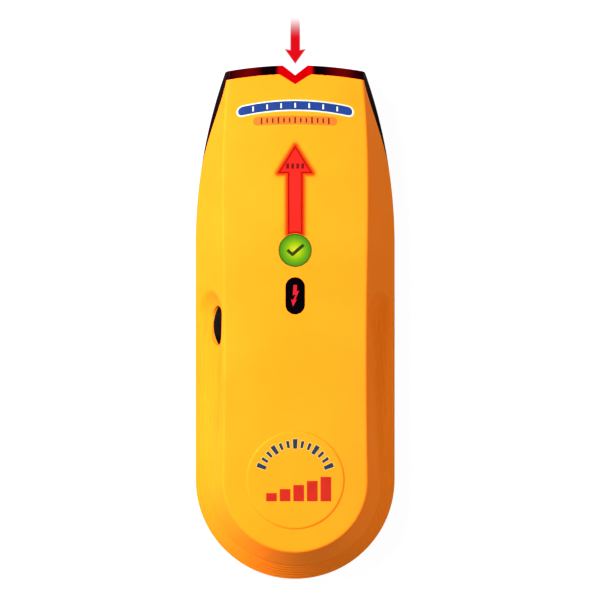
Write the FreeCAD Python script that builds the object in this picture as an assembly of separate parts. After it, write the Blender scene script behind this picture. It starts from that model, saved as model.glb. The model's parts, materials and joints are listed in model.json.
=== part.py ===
"""Hand-held stud finder: a battery-powered edge sensor that is slid over a wall on its flat back.

Frame: millimetres, +Z out of the front face, +Y towards the notched nose, +X to the right.
The origin is the middle of the flat back, so the tool lies on its back on the plane Z = 0.

The case is two moulded shells that meet at SPLIT_Z. A smoked lens closes the nose and runs back
along both sides as a tapering wing. Three windows in the front face sit over a white light box on
the main board. The battery lies in a bay behind a hinged door in the back.
"""
import FreeCAD
import Part
import math
import os

V = FreeCAD.Vector
X_AXIS = V(1, 0, 0)
Y_AXIS = V(0, 1, 0)
Z_AXIS = V(0, 0, 1)

# Driving dimensions of the case
LENGTH = 165.0
WIDTH = 64.0
HEIGHT = 31.0
SPLIT_Z = 12.0          # height of the joint between the shells
WALL = 2.2              # moulded wall
SIDE_WALL = 2.4         # the sloping sides' wall, measured level
GAP = 0.2               # gap round parts that move or lift out
SEAT_GAP = 0.05         # gap round parts that only slip together

NOSE_Y = LENGTH / 2
TAIL_Y = -LENGTH / 2
HALF_WIDTH = WIDTH / 2
TAIL_CENTRE_Y = TAIL_Y + HALF_WIDTH     # the tail is a half circle about this point

# Outline: straight sides that curve in to the nose corners from TAPER_Y
TAPER_Y = 25.0
CORNER_Y = 80.4
RUNOUT_Y = 87.0
CORNER_HALF = 22.5
NOSE_RADIUS = 125.0
NOTCH_HALF = 4.0
NOTCH_DEPTH = 3.15
NOTCH_WIDENING = 0.36      # gain in half width for each millimetre moved back from the front line
SIDE_SLOPE = 0.511      # how far the sides lean in for each millimetre above the split
CORNER_SLOPE = 0.055
BACK_DRAFT = 0.06
LOFT_TOP_Z = 32.0

# Crowned front face
CREST_Y = -12.0
CROWN_ACROSS = 240.0
CROWN_ALONG = 1100.0
RIM_ROUND = 1.0         # round along the front face's edge
BACK_ROUND = 1.6        # round along the back's edge

# Thumb scoops: the path of a ball's centre, on the right-hand side
SCOOP_RADIUS = 12.2
SCOOP_START = V(35.7, 2.2, 25.2)
SCOOP_END = V(38.0, -58.0, 27.5)
SCOOP_WALL = 2.0

# Nose lens
LENS_BAND = 2.75        # width of the band along the nose
TONGUE_DEPTH = 2.5
TONGUE_THICK = 1.2
WING_CURVE = [(79.75, 27.5), (66.0, 16.6), (43.0, SPLIT_Z)]     # Y, Z along the wing's top edge

# Lip that locates the shells
LIP_RISE = 1.3
LIP_INSET = 1.3

# Front-face windows
ARROW_TIP_Y = 56.8
ARROW_BASE_Y = 48.0
ARROW_HALF = 5.5
SHAFT_HALF = 2.3
READY_Y = 23.2
READY_R = 5.3
HAZARD_Y = 8.6
HAZARD_HALF_X = 3.05
HAZARD_HALF_Y = 5.9
FLANGE = 1.1            # how far a window's flange reaches under the front face
FLANGE_THICK = 1.0
EMBLEM_R = 15.8
EMBLEM_RISE = 0.4

# Main board and what stands on it
BOARD_Z = 5.0
BOARD_THICK = 1.6
BOARD_TOP = BOARD_Z + BOARD_THICK
BOARD_HALF = 20.0
BOARD_LOW_Y = -12.0
BOARD_HIGH_Y = 72.0
CASE_SCREWS = [(-17.0, 60.0), (17.0, 60.0), (-21.0, -60.0), (21.0, -60.0)]
BOARD_SCREWS = [(-16.5, -7.0), (16.5, -7.0), (-10.0, 66.0), (10.0, 66.0)]
POST_BASE_Z = 4.8
POST_R = 3.2
BOSS_R = 4.2
SHROUD_HALF = 7.5

# Side button, in the left-hand scoop
BUTTON_Y = -1.0
BUTTON_Z = 20.5
BUTTON_HALF_Y = 6.2
BUTTON_HALF_Z = 3.4
BUTTON_FACE_X = -26.2
BUTTON_DOME_R = 12.0
BUTTON_BACK_X = -20.9
BUTTON_STEM_X = -18.4
SWITCH_FACE_X = -17.2
SWITCH_BACK_X = -14.0
PLUNGER_R = 1.5

# Battery (a 9 V block), its bay and its door
BATTERY_HALF_X = 13.25
BATTERY_THICK = 17.5
BATTERY_LOW_Y = -70.4
BATTERY_HIGH_Y = -24.0
BATTERY_Z = 3.2
BATTERY_MID_Z = BATTERY_Z + BATTERY_THICK / 2
SNAP_X = 6.35
DOOR_HALF = 14.4
DOOR_LOW_Y = -73.5
DOOR_THICK = 2.0
DOOR_RECESS = 0.2       # the door's face lies this far above the back
HINGE_Y = -20.6
HINGE_Z = 1.8
BARREL_R = 1.6
PIN_R = 0.8
BAY_WALL = 1.2
PLATE_LOW_Y = -21.9
PLATE_THICK = 1.6
LATCH_HALF = 6.0
LATCH_PIVOT_Y = -72.7
LATCH_PIVOT_Z = 1.2
LATCH_PIN_R = 0.55

# Sounder, glued under the emblem
PIEZO_Y = -45.0
PIEZO_Z = 25.7


# ---------------------------------------------------------------- shape helpers

def box(x0, x1, y0, y1, z0, z1):
    """A block between two corners."""
    return Part.makeBox(x1 - x0, y1 - y0, z1 - z0, V(x0, y0, z0))


def rod(r, start, axis, length):
    """A cylinder from start, along axis."""
    return Part.makeCylinder(r, length, start, axis)


def prism(points, z0, z1):
    """A flat polygon in X and Y, made solid from z0 to z1."""
    wire = Part.makePolygon([V(x, y, z0) for x, y in points + points[:1]])
    return Part.Face(wire).extrude(V(0, 0, z1 - z0))


def fuse(shapes):
    """All the shapes as one solid."""
    joined = shapes[0].multiFuse(shapes[1:]) if len(shapes) > 1 else shapes[0]
    return joined.removeSplitter()


def group(shapes):
    """Several separate solids in one node."""
    return Part.makeCompound([s for shape in shapes for s in shape.Solids])


def mirrored(shape):
    """The shape on the other side of the plane X = 0."""
    return shape.mirror(V(0, 0, 0), X_AXIS)


def slot(half_long, half_short, z0, z1, centre_y):
    """An upright prism with round ends, long in Y."""
    straight = half_long - half_short
    ends = [rod(half_short, V(0, centre_y + s * straight, z0), Z_AXIS, z1 - z0) for s in (-1, 1)]
    return fuse([box(-half_short, half_short, centre_y - straight, centre_y + straight, z0, z1)] + ends)


def pill_x(half_long, half_short, x0, x1):
    """A prism along X with the button's round-ended outline, long in Y."""
    straight = half_long - half_short
    ends = [rod(half_short, V(x0, BUTTON_Y + s * straight, BUTTON_Z), X_AXIS, x1 - x0) for s in (-1, 1)]
    middle = box(x0, x1, BUTTON_Y - straight, BUTTON_Y + straight,
                 BUTTON_Z - half_short, BUTTON_Z + half_short)
    return fuse([middle] + ends)


# ---------------------------------------------------------------- the case's envelope

def half_at(z):
    """Half the case's width at the straight sides, at this height."""
    if z >= SPLIT_Z:
        return HALF_WIDTH - SIDE_SLOPE * (z - SPLIT_Z)
    return HALF_WIDTH - BACK_DRAFT * (SPLIT_Z - z)


def section(z, inset=0.0):
    """The closed outline at this height, moved in by inset, and left square ahead of the nose."""
    half = half_at(z) - inset
    slope = CORNER_SLOPE if z >= SPLIT_Z else -BACK_DRAFT
    corner = CORNER_HALF - slope * (z - SPLIT_Z) - inset
    lean = half - corner
    radius = (lean ** 2 + (CORNER_Y - TAPER_Y) ** 2) / (2 * lean)

    def side(y):
        return half - radius + math.sqrt(radius ** 2 - (y - TAPER_Y) ** 2)

    middle = (TAPER_Y + RUNOUT_Y) / 2
    end = side(RUNOUT_Y)
    edges = [
        Part.makeLine(V(half, TAIL_CENTRE_Y, z), V(half, TAPER_Y, z)),
        Part.Arc(V(half, TAPER_Y, z), V(side(middle), middle, z), V(end, RUNOUT_Y, z)).toShape(),
        Part.makeLine(V(end, RUNOUT_Y, z), V(-end, RUNOUT_Y, z)),
        Part.Arc(V(-end, RUNOUT_Y, z), V(-side(middle), middle, z), V(-half, TAPER_Y, z)).toShape(),
        Part.makeLine(V(-half, TAPER_Y, z), V(-half, TAIL_CENTRE_Y, z)),
        Part.Arc(V(-half, TAIL_CENTRE_Y, z), V(0, TAIL_CENTRE_Y - half, z),
                 V(half, TAIL_CENTRE_Y, z)).toShape(),
    ]
    return Part.Wire(edges)


def block(z0, z1, inset=0.0):
    """The solid between the outlines at two heights on the same side of the split."""
    return Part.makeLoft([section(z0, inset), section(z1, inset)], True, True)


def crown(depth):
    """Everything under the crowned front face, moved down by depth."""
    reach = HALF_WIDTH + 8
    across = CROWN_ACROSS - depth
    top = HEIGHT - depth
    edge_z = top - across + math.sqrt(across ** 2 - reach ** 2)
    arc = Part.Arc(V(-reach, CREST_Y, edge_z), V(0, CREST_Y, top), V(reach, CREST_Y, edge_z)).toShape()
    low = -10.0
    sides = Part.makePolygon([V(reach, CREST_Y, edge_z), V(reach, CREST_Y, low),
                              V(-reach, CREST_Y, low), V(-reach, CREST_Y, edge_z)])
    face = Part.Face(Part.Wire([arc] + sides.Edges))
    axis_point = V(0, CREST_Y, HEIGHT - CROWN_ALONG)
    sweep = 13.0
    face.rotate(axis_point, X_AXIS, -sweep / 2)
    return face.revolve(axis_point, X_AXIS, sweep)


def nose_arc_y(x):
    """The nose's front line."""
    return NOSE_Y + math.sqrt(NOSE_RADIUS ** 2 - x ** 2) - math.sqrt(NOSE_RADIUS ** 2 - NOTCH_HALF ** 2)


def ahead_of_nose(shift, z0=-5.0, z1=45.0):
    """Everything ahead of the notched front line, moved back by shift; the notch widens as it moves back."""
    reach = HALF_WIDTH + 8
    half = NOTCH_HALF + NOTCH_WIDENING * shift
    middle = (reach + half) / 2

    def point(x, y):
        return V(x, y - shift, z0)

    def arc(x0, x1, x2):
        return Part.Arc(*[point(x, nose_arc_y(x)) for x in (x0, x1, x2)]).toShape()

    notch = [point(-half, nose_arc_y(half)), point(0, nose_arc_y(half) - NOTCH_DEPTH),
             point(half, nose_arc_y(half))]
    far = NOSE_Y + 30
    outer = [point(reach, nose_arc_y(reach)), point(reach, far),
             point(-reach, far), point(-reach, nose_arc_y(reach))]
    edges = [arc(-reach, -middle, -half)] + Part.makePolygon(notch).Edges
    edges += [arc(half, middle, reach)] + Part.makePolygon(outer).Edges
    return Part.Face(Part.Wire(edges)).extrude(V(0, 0, z1 - z0))


def scoop(grow=0.0):
    """The right-hand thumb scoop: a round-ended rod that leaves the side slowly towards the tail."""
    radius = SCOOP_RADIUS + grow
    path = SCOOP_END - SCOOP_START
    return fuse([rod(radius, SCOOP_START, path, path.Length), Part.makeSphere(radius, SCOOP_START)])


def scoops(grow=0.0):
    """Both thumb scoops."""
    right = scoop(grow)
    return [right, mirrored(right)]


def under_wing():
    """The space under the lens wings' top edge, right across the case."""
    (y0, z0), (y1, z1), (y2, z2) = WING_CURVE
    reach = -HALF_WIDTH - 5
    curve = Part.Arc(V(reach, y0, z0), V(reach, y1, z1), V(reach, y2, z2)).toShape()
    rest = Part.makePolygon([V(reach, y2, z2), V(reach, y0, z2), V(reach, y0, z0)])
    return Part.Face(Part.Wire([curve] + rest.Edges)).extrude(V(-2 * reach, 0, 0))


# ---------------------------------------------------------------- outlines of the windows

def arrow_prism(grow, z0, z1):
    """The arrow, whose shaft stops at the round window."""
    side = math.hypot(ARROW_HALF, ARROW_TIP_Y - ARROW_BASE_Y)
    tip_grow = grow * side / ARROW_HALF
    foot_grow = grow * (side + ARROW_HALF) / (ARROW_TIP_Y - ARROW_BASE_Y)
    head_half = ARROW_HALF + foot_grow
    shaft_half = SHAFT_HALF + grow
    base_y = ARROW_BASE_Y - grow
    right = [(shaft_half, READY_Y), (shaft_half, base_y), (head_half, base_y)]
    left = [(-x, y) for x, y in reversed(right)]
    arrow = prism(right + [(0, ARROW_TIP_Y + tip_grow)] + left, z0, z1)
    return arrow.cut(ready_prism(0.35 - grow, z0, z1))


def ready_prism(grow, z0, z1):
    """The round window's outline."""
    return rod(READY_R + grow, V(0, READY_Y, z0), Z_AXIS, z1 - z0)


def hazard_prism(grow, z0, z1):
    """The oval window's outline."""
    return slot(HAZARD_HALF_Y + grow, HAZARD_HALF_X + grow, z0, z1, HAZARD_Y)


def bolt_prism(z0, z1):
    """A lightning bolt that ends in an arrowhead, centred in the oval window."""
    points = [(-0.55, 3.5), (0.65, 3.5), (0.55, 1.5), (1.35, 1.7), (0.05, -1.35), (0.65, -1.05),
              (-0.75, -3.6), (-1.35, -1.15), (-0.75, -1.3), (0.1, 0.35), (-0.85, 0.1)]
    return prism([(x, y + HAZARD_Y) for x, y in points], z0, z1)


# ---------------------------------------------------------------- the case

def envelope():
    """The whole case as one filled solid, with its edges rounded and its scoops cut."""
    upper = block(SPLIT_Z, LOFT_TOP_Z).common(crown(0)).cut(ahead_of_nose(0))
    rim = [e for e in upper.Edges if e.BoundBox.ZMin > HEIGHT - 6.5 and e.BoundBox.YMin < NOSE_Y - 8
           and e.BoundBox.YLength > 1]
    upper = upper.makeFillet(RIM_ROUND, rim)
    lower = block(0, SPLIT_Z).cut(ahead_of_nose(0))
    base = [e for e in lower.Edges if e.BoundBox.ZMax < 0.01 and e.BoundBox.YMin < NOSE_Y - 8]
    lower = lower.makeFillet(BACK_ROUND, base)
    emblem = rod(EMBLEM_R, V(0, TAIL_CENTRE_Y, HEIGHT - 6), Z_AXIS, 12).common(crown(-EMBLEM_RISE))
    upper = upper.cut(scoops()[0]).cut(scoops()[1]).fuse(emblem).removeSplitter()
    return upper, lower


def cavity(z0, z1):
    """The hollow inside both shells, between two heights."""
    hollow = []
    if z1 > SPLIT_Z:
        hollow.append(block(max(z0, SPLIT_Z), LOFT_TOP_Z, SIDE_WALL).common(crown(WALL)))
    if z0 < SPLIT_Z:
        hollow.append(block(z0, min(z1, SPLIT_Z), SIDE_WALL))
    inside = fuse(hollow).cut(ahead_of_nose(LENS_BAND))
    for shape in scoops(SCOOP_WALL):
        inside = inside.cut(shape)
    return inside


def lip_ring(clearance):
    """The band that the back shell's lip fills, or with clearance, the rebate that it fits."""
    top = SPLIT_Z + LIP_RISE + clearance
    outer = block(SPLIT_Z, top, LIP_INSET - clearance).cut(ahead_of_nose(LIP_INSET - clearance))
    if clearance:
        return outer
    return outer.cut(block(SPLIT_Z, top, SIDE_WALL).cut(ahead_of_nose(LENS_BAND)))


def screw_posts(inside):
    """Posts under the front face that the case screws bite into."""
    posts = []
    for x, y in CASE_SCREWS:
        post = rod(POST_R, V(x, y, POST_BASE_Z), Z_AXIS, HEIGHT - POST_BASE_Z)
        posts.append(post.common(inside))
    return posts


def front_shell(upper, inside):
    """Front shell: crowned face, sloping sides, window openings, posts, ribs and the sounder's seat."""
    shell = upper.cut(inside)
    lens_zone = ahead_of_nose(LENS_BAND, SPLIT_Z, HEIGHT + 5)
    shell = shell.cut(lens_zone).cut(under_wing()).cut(lip_ring(SEAT_GAP))
    low_posts = cavity(WALL, LOFT_TOP_Z)
    ring = rod(11.6, V(0, PIEZO_Y, PIEZO_Z + 0.3), Z_AXIS, HEIGHT)
    ring = ring.cut(rod(10.2, V(0, PIEZO_Y, 0), Z_AXIS, 2 * HEIGHT))
    rib_z = BATTERY_Z + BATTERY_THICK + SEAT_GAP
    ribs = [box(side * 7.5 - 2.0, side * 7.5 + 2.0, y - 0.6, y + 0.6, rib_z, HEIGHT)
            for y in (-63.0, -28.0) for side in (-1, 1)]
    inner = [ring.common(inside)] + [r.common(inside) for r in ribs] + screw_posts(low_posts)
    shell = fuse([shell] + inner)
    for x, y in CASE_SCREWS:
        shell = shell.cut(rod(1.3, V(x, y, POST_BASE_Z), Z_AXIS, 10.5))
    for outline in (arrow_prism, ready_prism, hazard_prism):
        shell = shell.cut(outline(SEAT_GAP, HEIGHT - 8, HEIGHT + 2))
    return shell.cut(pill_x(BUTTON_HALF_Y + GAP, BUTTON_HALF_Z + GAP, -32.0, -19.0))


def nose_lens(upper, inside):
    """Smoked lens: the notched nose band, a wing along each side and a tongue under the front face."""
    band = upper.common(ahead_of_nose(LENS_BAND, SPLIT_Z, HEIGHT + 5))
    wings = upper.cut(inside).common(under_wing()).cut(ahead_of_nose(LENS_BAND))
    below_face = crown(WALL + SEAT_GAP).cut(crown(WALL + SEAT_GAP + TONGUE_THICK))
    tongue = block(SPLIT_Z, LOFT_TOP_Z, SIDE_WALL + 2).common(below_face)
    tongue = tongue.common(ahead_of_nose(LENS_BAND + TONGUE_DEPTH)).cut(ahead_of_nose(LENS_BAND))
    return fuse([band, wings, tongue]).cut(lip_ring(SEAT_GAP))


def back_shell(lower, inside):
    """Back shell: flat back, lip, screw bosses, board standoffs, battery bay and hinge lugs."""
    shell = lower.cut(inside)
    inner = inside.common(box(-40, 40, -90, 90, 0, SPLIT_Z + 4))
    opening_low = DOOR_LOW_Y - GAP
    opening_high = HINGE_Y + BARREL_R + GAP
    half = DOOR_HALF + GAP
    wall_x = half + 0.1
    adds = [rod(BOSS_R, V(x, y, WALL), Z_AXIS, POST_BASE_Z - WALL).common(inner) for x, y in CASE_SCREWS]
    adds += [rod(2.6, V(x, y, WALL), Z_AXIS, BOARD_Z - WALL) for x, y in BOARD_SCREWS]
    for side in (-1, 1):
        low_x, high_x = sorted((side * wall_x, side * (wall_x + BAY_WALL)))
        plate_y = PLATE_LOW_Y + PLATE_THICK
        adds.append(box(low_x, high_x, opening_low - BAY_WALL, plate_y + 1, WALL, SPLIT_Z + 4))
        low_x, high_x = sorted((side * half, side * (half + 2.4)))
        adds.append(box(low_x, high_x, HINGE_Y - 2.2, HINGE_Y + 2.2, WALL, HINGE_Z + 2.4))
    adds.append(box(-wall_x, wall_x, opening_low - BAY_WALL, opening_low, WALL, SPLIT_Z + 4))
    adds.append(box(-wall_x, wall_x, opening_high, opening_high + 1.2, WALL, 4.4))
    shell = fuse([shell, lip_ring(0)] + [a.common(inner) for a in adds])
    shell = shell.cut(box(-half, half, opening_low, opening_high, -1, WALL + 0.01))
    for side in (-1, 1):
        shell = shell.cut(rod(PIN_R + 0.06, V(side * half, HINGE_Y, HINGE_Z), V(side, 0, 0), 1.8))
    groove = box(-wall_x - 0.5, wall_x + 0.5, PLATE_LOW_Y - SEAT_GAP, PLATE_LOW_Y + PLATE_THICK + SEAT_GAP,
                 4.0, SPLIT_Z + 5)
    shell = shell.cut(groove)
    for x, y in CASE_SCREWS:
        shell = shell.cut(rod(3.0, V(x, y, -1), Z_AXIS, 3.6)).cut(rod(1.6, V(x, y, -1), Z_AXIS, 8))
    for x, y in BOARD_SCREWS:
        shell = shell.cut(rod(0.95, V(x, y, 2.6), Z_AXIS, 4))
    return shell.cut(box(-18, 18, -8, 50, -1, 0.2))


def back_label():
    """Blank label in its recess in the back."""
    return box(-17.7, 17.7, -7.7, 49.7, 0.05, 0.2)


# ---------------------------------------------------------------- windows in the front face

def window(outline):
    """A window flush with the front face, with a flange under it."""
    pane = outline(0, HEIGHT - 8, HEIGHT + 2).common(crown(0)).cut(crown(WALL + SEAT_GAP))
    flange_band = crown(WALL + SEAT_GAP).cut(crown(WALL + SEAT_GAP + FLANGE_THICK))
    flange = outline(FLANGE, HEIGHT - 9, HEIGHT).common(flange_band)
    return fuse([pane, flange])


def arrow_window():
    """Red arrow window, trimmed clear of the round one's flange."""
    clear = ready_prism(FLANGE + 0.2, HEIGHT - 9, HEIGHT).common(crown(WALL + SEAT_GAP))
    return window(arrow_prism).cut(clear)


def ready_window():
    """Green round window."""
    return window(ready_prism)


def hazard_window():
    """Black oval window, moulded round the bolt."""
    return window(hazard_prism).cut(bolt_prism(HEIGHT - 9, HEIGHT + 2))


def bolt_window():
    """Red bolt that fills the hole in the oval window."""
    return bolt_prism(HEIGHT - 9, HEIGHT + 2).common(crown(0)).cut(crown(WALL + SEAT_GAP + FLANGE_THICK))


def light_shroud():
    """White light box between the board's lamps and the windows, with one well for each."""
    top = crown(WALL + SEAT_GAP + FLANGE_THICK + 0.15)
    outer = box(-SHROUD_HALF, SHROUD_HALF, HAZARD_Y - 7.6, ARROW_TIP_Y + 3.6, BOARD_TOP, HEIGHT).common(top)
    for outline, grow in ((arrow_prism, 0.3), (ready_prism, -0.8), (hazard_prism, 0.2)):
        outer = outer.cut(outline(grow, 0, HEIGHT + 2))
    relief = box(-SHROUD_HALF + 1.4, SHROUD_HALF - 1.4, ARROW_BASE_Y - 16.5, ARROW_BASE_Y - 3.0, 0, 20.0)
    keep = arrow_prism(1.5, 0, HEIGHT + 2)
    return outer.cut(relief.cut(keep))


# ---------------------------------------------------------------- electronics

def main_board():
    """Main circuit board, notched round the case's posts."""
    board = box(-BOARD_HALF, BOARD_HALF, BOARD_LOW_Y, BOARD_HIGH_Y, BOARD_Z, BOARD_TOP)
    corners = [e for e in board.Edges if abs(e.BoundBox.ZLength - BOARD_THICK) < 0.01]
    board = board.makeFillet(2.0, corners)
    for x, y in CASE_SCREWS[:2]:
        board = board.cut(rod(POST_R + 0.5, V(x, y, 0), Z_AXIS, 10))
    for x, y in BOARD_SCREWS:
        board = board.cut(rod(1.2, V(x, y, 0), Z_AXIS, 10))
    return board


def sensor_plates():
    """Three copper electrodes under the board that feel the wall."""
    low, high = 14.0, 53.0
    return group([box(x - half, x + half, low, high, BOARD_Z - 0.2, BOARD_Z)
                  for x, half in ((-12.5, 4.5), (0.0, 6.0), (12.5, 4.5))])


def chip(x, y, long_y, wide_x, height, pins, pitch):
    """A gull-wing chip: its moulded body, and its pins as separate solids."""
    body = box(x - wide_x / 2, x + wide_x / 2, y - long_y / 2, y + long_y / 2,
               BOARD_TOP + 0.15, BOARD_TOP + height)
    upright = [e for e in body.Edges if e.BoundBox.ZLength > 0.5]
    body = body.makeFillet(0.25, upright)
    legs = []
    for side in (-1, 1):
        for i in range(pins):
            pin_y = y + (i - (pins - 1) / 2) * pitch
            inner = x + side * wide_x / 2
            outer = x + side * (wide_x / 2 + 1.0)
            low, high = sorted((inner, outer))
            legs.append(box(low, high, pin_y - 0.2, pin_y + 0.2, BOARD_TOP, BOARD_TOP + 0.2))
    return [body], legs


CHIPS = {
    "controller_chip": chip(14.0, 40.0, 12.8, 7.5, 2.4, 10, 1.27),
    "sensing_chip": chip(-14.0, 40.0, 8.7, 4.0, 1.6, 7, 1.27),
}


def chip_pins():
    """The pins of both chips."""
    return group([leg for _, legs in CHIPS.values() for leg in legs])


def small_parts(places, size):
    """Rows of small chip parts on the board, turned to lie along Y."""
    sx, sy, sz = size
    return group([box(x - sx / 2, x + sx / 2, y - sy / 2, y + sy / 2, BOARD_TOP, BOARD_TOP + sz)
                  for x, y in places])


def resistors():
    """Two rows of chip resistors."""
    places = [(-11.0 - 2.6 * i, 28.0 + 3.0 * j) for i in range(3) for j in range(2)]
    return small_parts(places, (1.25, 2.0, 0.55))


def ceramic_capacitors():
    """Chip capacitors beside the two chips."""
    places = [(11.0 + 2.6 * i, 29.0) for i in range(3)] + [(-11.0 - 2.6 * i, 47.5) for i in range(3)]
    return small_parts(places, (1.3, 2.0, 1.1))


def can_capacitor(x, y, r, height):
    """An electrolytic capacitor on its square base."""
    base = box(x - r - 0.2, x + r + 0.2, y - r - 0.2, y + r + 0.2, BOARD_TOP, BOARD_TOP + 1.0)
    can = rod(r, V(x, y, BOARD_TOP + 1.0), Z_AXIS, height - 1.0)
    rim = [e for e in can.Edges if e.BoundBox.ZMin > BOARD_TOP + height - 0.01]
    return fuse([base, can.makeFillet(0.5, rim)])


def can_capacitors():
    """The supply's two electrolytic capacitors."""
    return group([can_capacitor(13.5, 19.0, 3.15, 7.7), can_capacitor(13.5, 10.5, 3.15, 7.7)])


def surface_lamp(y, x=0.0):
    """A surface-mounted lamp, facing up."""
    body = box(x - 1.4, x + 1.4, y - 1.75, y + 1.75, BOARD_TOP, BOARD_TOP + 1.6)
    dome = Part.makeSphere(1.2, V(x, y, BOARD_TOP + 1.2))
    return fuse([body, dome])


def arrow_lamps():
    """Three red lamps under the arrow."""
    return group([surface_lamp(y) for y in (33.0, 41.5, 50.0)])


def ready_lamp():
    """Green lamp under the round window."""
    return surface_lamp(READY_Y)


def hazard_lamp():
    """Red lamp under the oval window."""
    return surface_lamp(HAZARD_Y)


POINTER_X = 2.7
POINTER_Z = 16.0
POINTER_BACK_Y = 67.0


def pointer_lamps():
    """Two red lamps that light the notch in the nose, facing forward."""
    lamps = []
    for side in (-1, 1):
        x = side * POINTER_X
        collar = rod(1.9, V(x, POINTER_BACK_Y, POINTER_Z), Y_AXIS, 1.0)
        barrel = rod(1.5, V(x, POINTER_BACK_Y, POINTER_Z), Y_AXIS, 3.8)
        dome = Part.makeSphere(1.5, V(x, POINTER_BACK_Y + 3.8, POINTER_Z))
        lamps.append(fuse([collar, barrel, dome]))
    return group(lamps)


def pointer_legs():
    """The pointer lamps' legs, bent down to the board."""
    legs = []
    for side in (-1, 1):
        for step in (-0.9, 0.9):
            x = side * POINTER_X + step
            level = box(x - 0.25, x + 0.25, POINTER_BACK_Y - 1.5, POINTER_BACK_Y,
                        POINTER_Z - 0.25, POINTER_Z + 0.25)
            down = box(x - 0.25, x + 0.25, POINTER_BACK_Y - 1.5, POINTER_BACK_Y - 1.0,
                       BOARD_TOP, POINTER_Z + 0.25)
            legs.append(fuse([level, down]))
    return group(legs)


def switch_board():
    """Small upright board that carries the switch."""
    return box(SWITCH_BACK_X, SWITCH_BACK_X + 1.2, BUTTON_Y - 7, BUTTON_Y + 7,
               BOARD_TOP, BUTTON_Z + 5.0)


def board_header():
    """Right-angle header that joins the upright board to the main board."""
    low_x = SWITCH_BACK_X + 1.2
    return box(low_x, low_x + 2.5, BUTTON_Y - 4.0, BUTTON_Y + 4.0, BOARD_TOP, BOARD_TOP + 2.5)


def header_pins():
    """The header's pins, which reach through the upright board."""
    low_x = SWITCH_BACK_X + 1.2
    pins = []
    for i in range(3):
        y = BUTTON_Y + 2.54 * (i - 1)
        pins.append(box(low_x + 2.5, low_x + 4.2, y - 0.3, y + 0.3, BOARD_TOP, BOARD_TOP + 0.6))
    return group(pins)


def switch_body():
    """Push switch behind the side button, with a well for its plunger."""
    body = box(SWITCH_FACE_X, SWITCH_BACK_X, BUTTON_Y - 3, BUTTON_Y + 3, BUTTON_Z - 3, BUTTON_Z + 3)
    return body.cut(rod(PLUNGER_R + 0.1, V(SWITCH_FACE_X - 1, BUTTON_Y, BUTTON_Z), X_AXIS, 2.4))


def switch_plunger():
    """The switch's plunger, which moves with the button."""
    return rod(PLUNGER_R, V(BUTTON_STEM_X, BUTTON_Y, BUTTON_Z), X_AXIS, 1.6)


def side_button():
    """Black button with a domed face, a flange that keeps it in, and a stem."""
    cap = pill_x(BUTTON_HALF_Y, BUTTON_HALF_Z, BUTTON_FACE_X - 1, BUTTON_BACK_X)
    dome = rod(BUTTON_DOME_R, V(BUTTON_FACE_X + BUTTON_DOME_R, BUTTON_Y, 0), Z_AXIS, 2 * HEIGHT)
    flange = pill_x(BUTTON_HALF_Y + 1, BUTTON_HALF_Z + 1, BUTTON_BACK_X, BUTTON_BACK_X + 1)
    stem = rod(2.0, V(BUTTON_BACK_X + 1, BUTTON_Y, BUTTON_Z), X_AXIS, BUTTON_STEM_X - BUTTON_BACK_X - 1)
    return fuse([cap.common(dome), flange, stem])


def piezo_disc():
    """Brass disc of the sounder, glued to its seat under the front face."""
    return rod(11.0, V(0, PIEZO_Y, PIEZO_Z), Z_AXIS, 0.3)


def piezo_ceramic():
    """Ceramic layer on the sounder's brass disc."""
    return rod(8.0, V(0, PIEZO_Y, PIEZO_Z - 0.25), Z_AXIS, 0.25)


# ---------------------------------------------------------------- battery, contacts and leads

def battery_can():
    """Hollow steel jacket of the 9 V battery, closed at the tail end."""
    outer = box(-BATTERY_HALF_X, BATTERY_HALF_X, BATTERY_LOW_Y, BATTERY_HIGH_Y,
                BATTERY_Z, BATTERY_Z + BATTERY_THICK)
    long_edges = [e for e in outer.Edges if e.BoundBox.YLength > 40]
    outer = outer.makeFillet(2.0, long_edges)
    skin = 0.4
    inner = box(-BATTERY_HALF_X + skin, BATTERY_HALF_X - skin, BATTERY_LOW_Y + skin, BATTERY_HIGH_Y + 1,
                BATTERY_Z + skin, BATTERY_Z + BATTERY_THICK - skin)
    inner_edges = [e for e in inner.Edges if e.BoundBox.YLength > 40]
    return outer.cut(inner.makeFillet(1.6, inner_edges))


def battery_cells():
    """The battery's six cells."""
    return group([rod(4.0, V(x, BATTERY_LOW_Y + 1.0, BATTERY_MID_Z + z), Y_AXIS, 42.0)
                  for x in (-8.3, 0.0, 8.3) for z in (-4.15, 4.15)])


def battery_header():
    """Insulating plate that carries the battery's snaps."""
    inset = 0.45
    plate = box(-BATTERY_HALF_X + inset, BATTERY_HALF_X - inset, BATTERY_HIGH_Y - 1.5, BATTERY_HIGH_Y,
                BATTERY_Z + inset, BATTERY_Z + BATTERY_THICK - inset)
    corners = [e for e in plate.Edges if abs(e.BoundBox.YLength - 1.5) < 0.01]
    return plate.makeFillet(1.5, corners)


def snap_stud(x, start_y, direction):
    """A round snap stud on the plane start_y."""
    return rod(2.8, V(x, start_y, BATTERY_MID_Z), V(0, direction, 0), 1.9)


def snap_socket(x, start_y, direction):
    """A snap socket: a ring that grips a stud."""
    ring = rod(4.1, V(x, start_y, BATTERY_MID_Z), V(0, direction, 0), 1.9)
    return ring.cut(rod(2.95, V(x, start_y - 5, BATTERY_MID_Z), Y_AXIS, 10))


def battery_snaps():
    """The battery's own stud and socket."""
    return group([snap_stud(-SNAP_X, BATTERY_HIGH_Y, 1), snap_socket(SNAP_X, BATTERY_HIGH_Y, 1)])


def contact_plate():
    """Board that stands across the bay and carries the mating snaps."""
    half = DOOR_HALF + GAP + 0.5
    return box(-half, half, PLATE_LOW_Y, PLATE_LOW_Y + PLATE_THICK, 4.05, BATTERY_MID_Z + 7.5)


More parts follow.
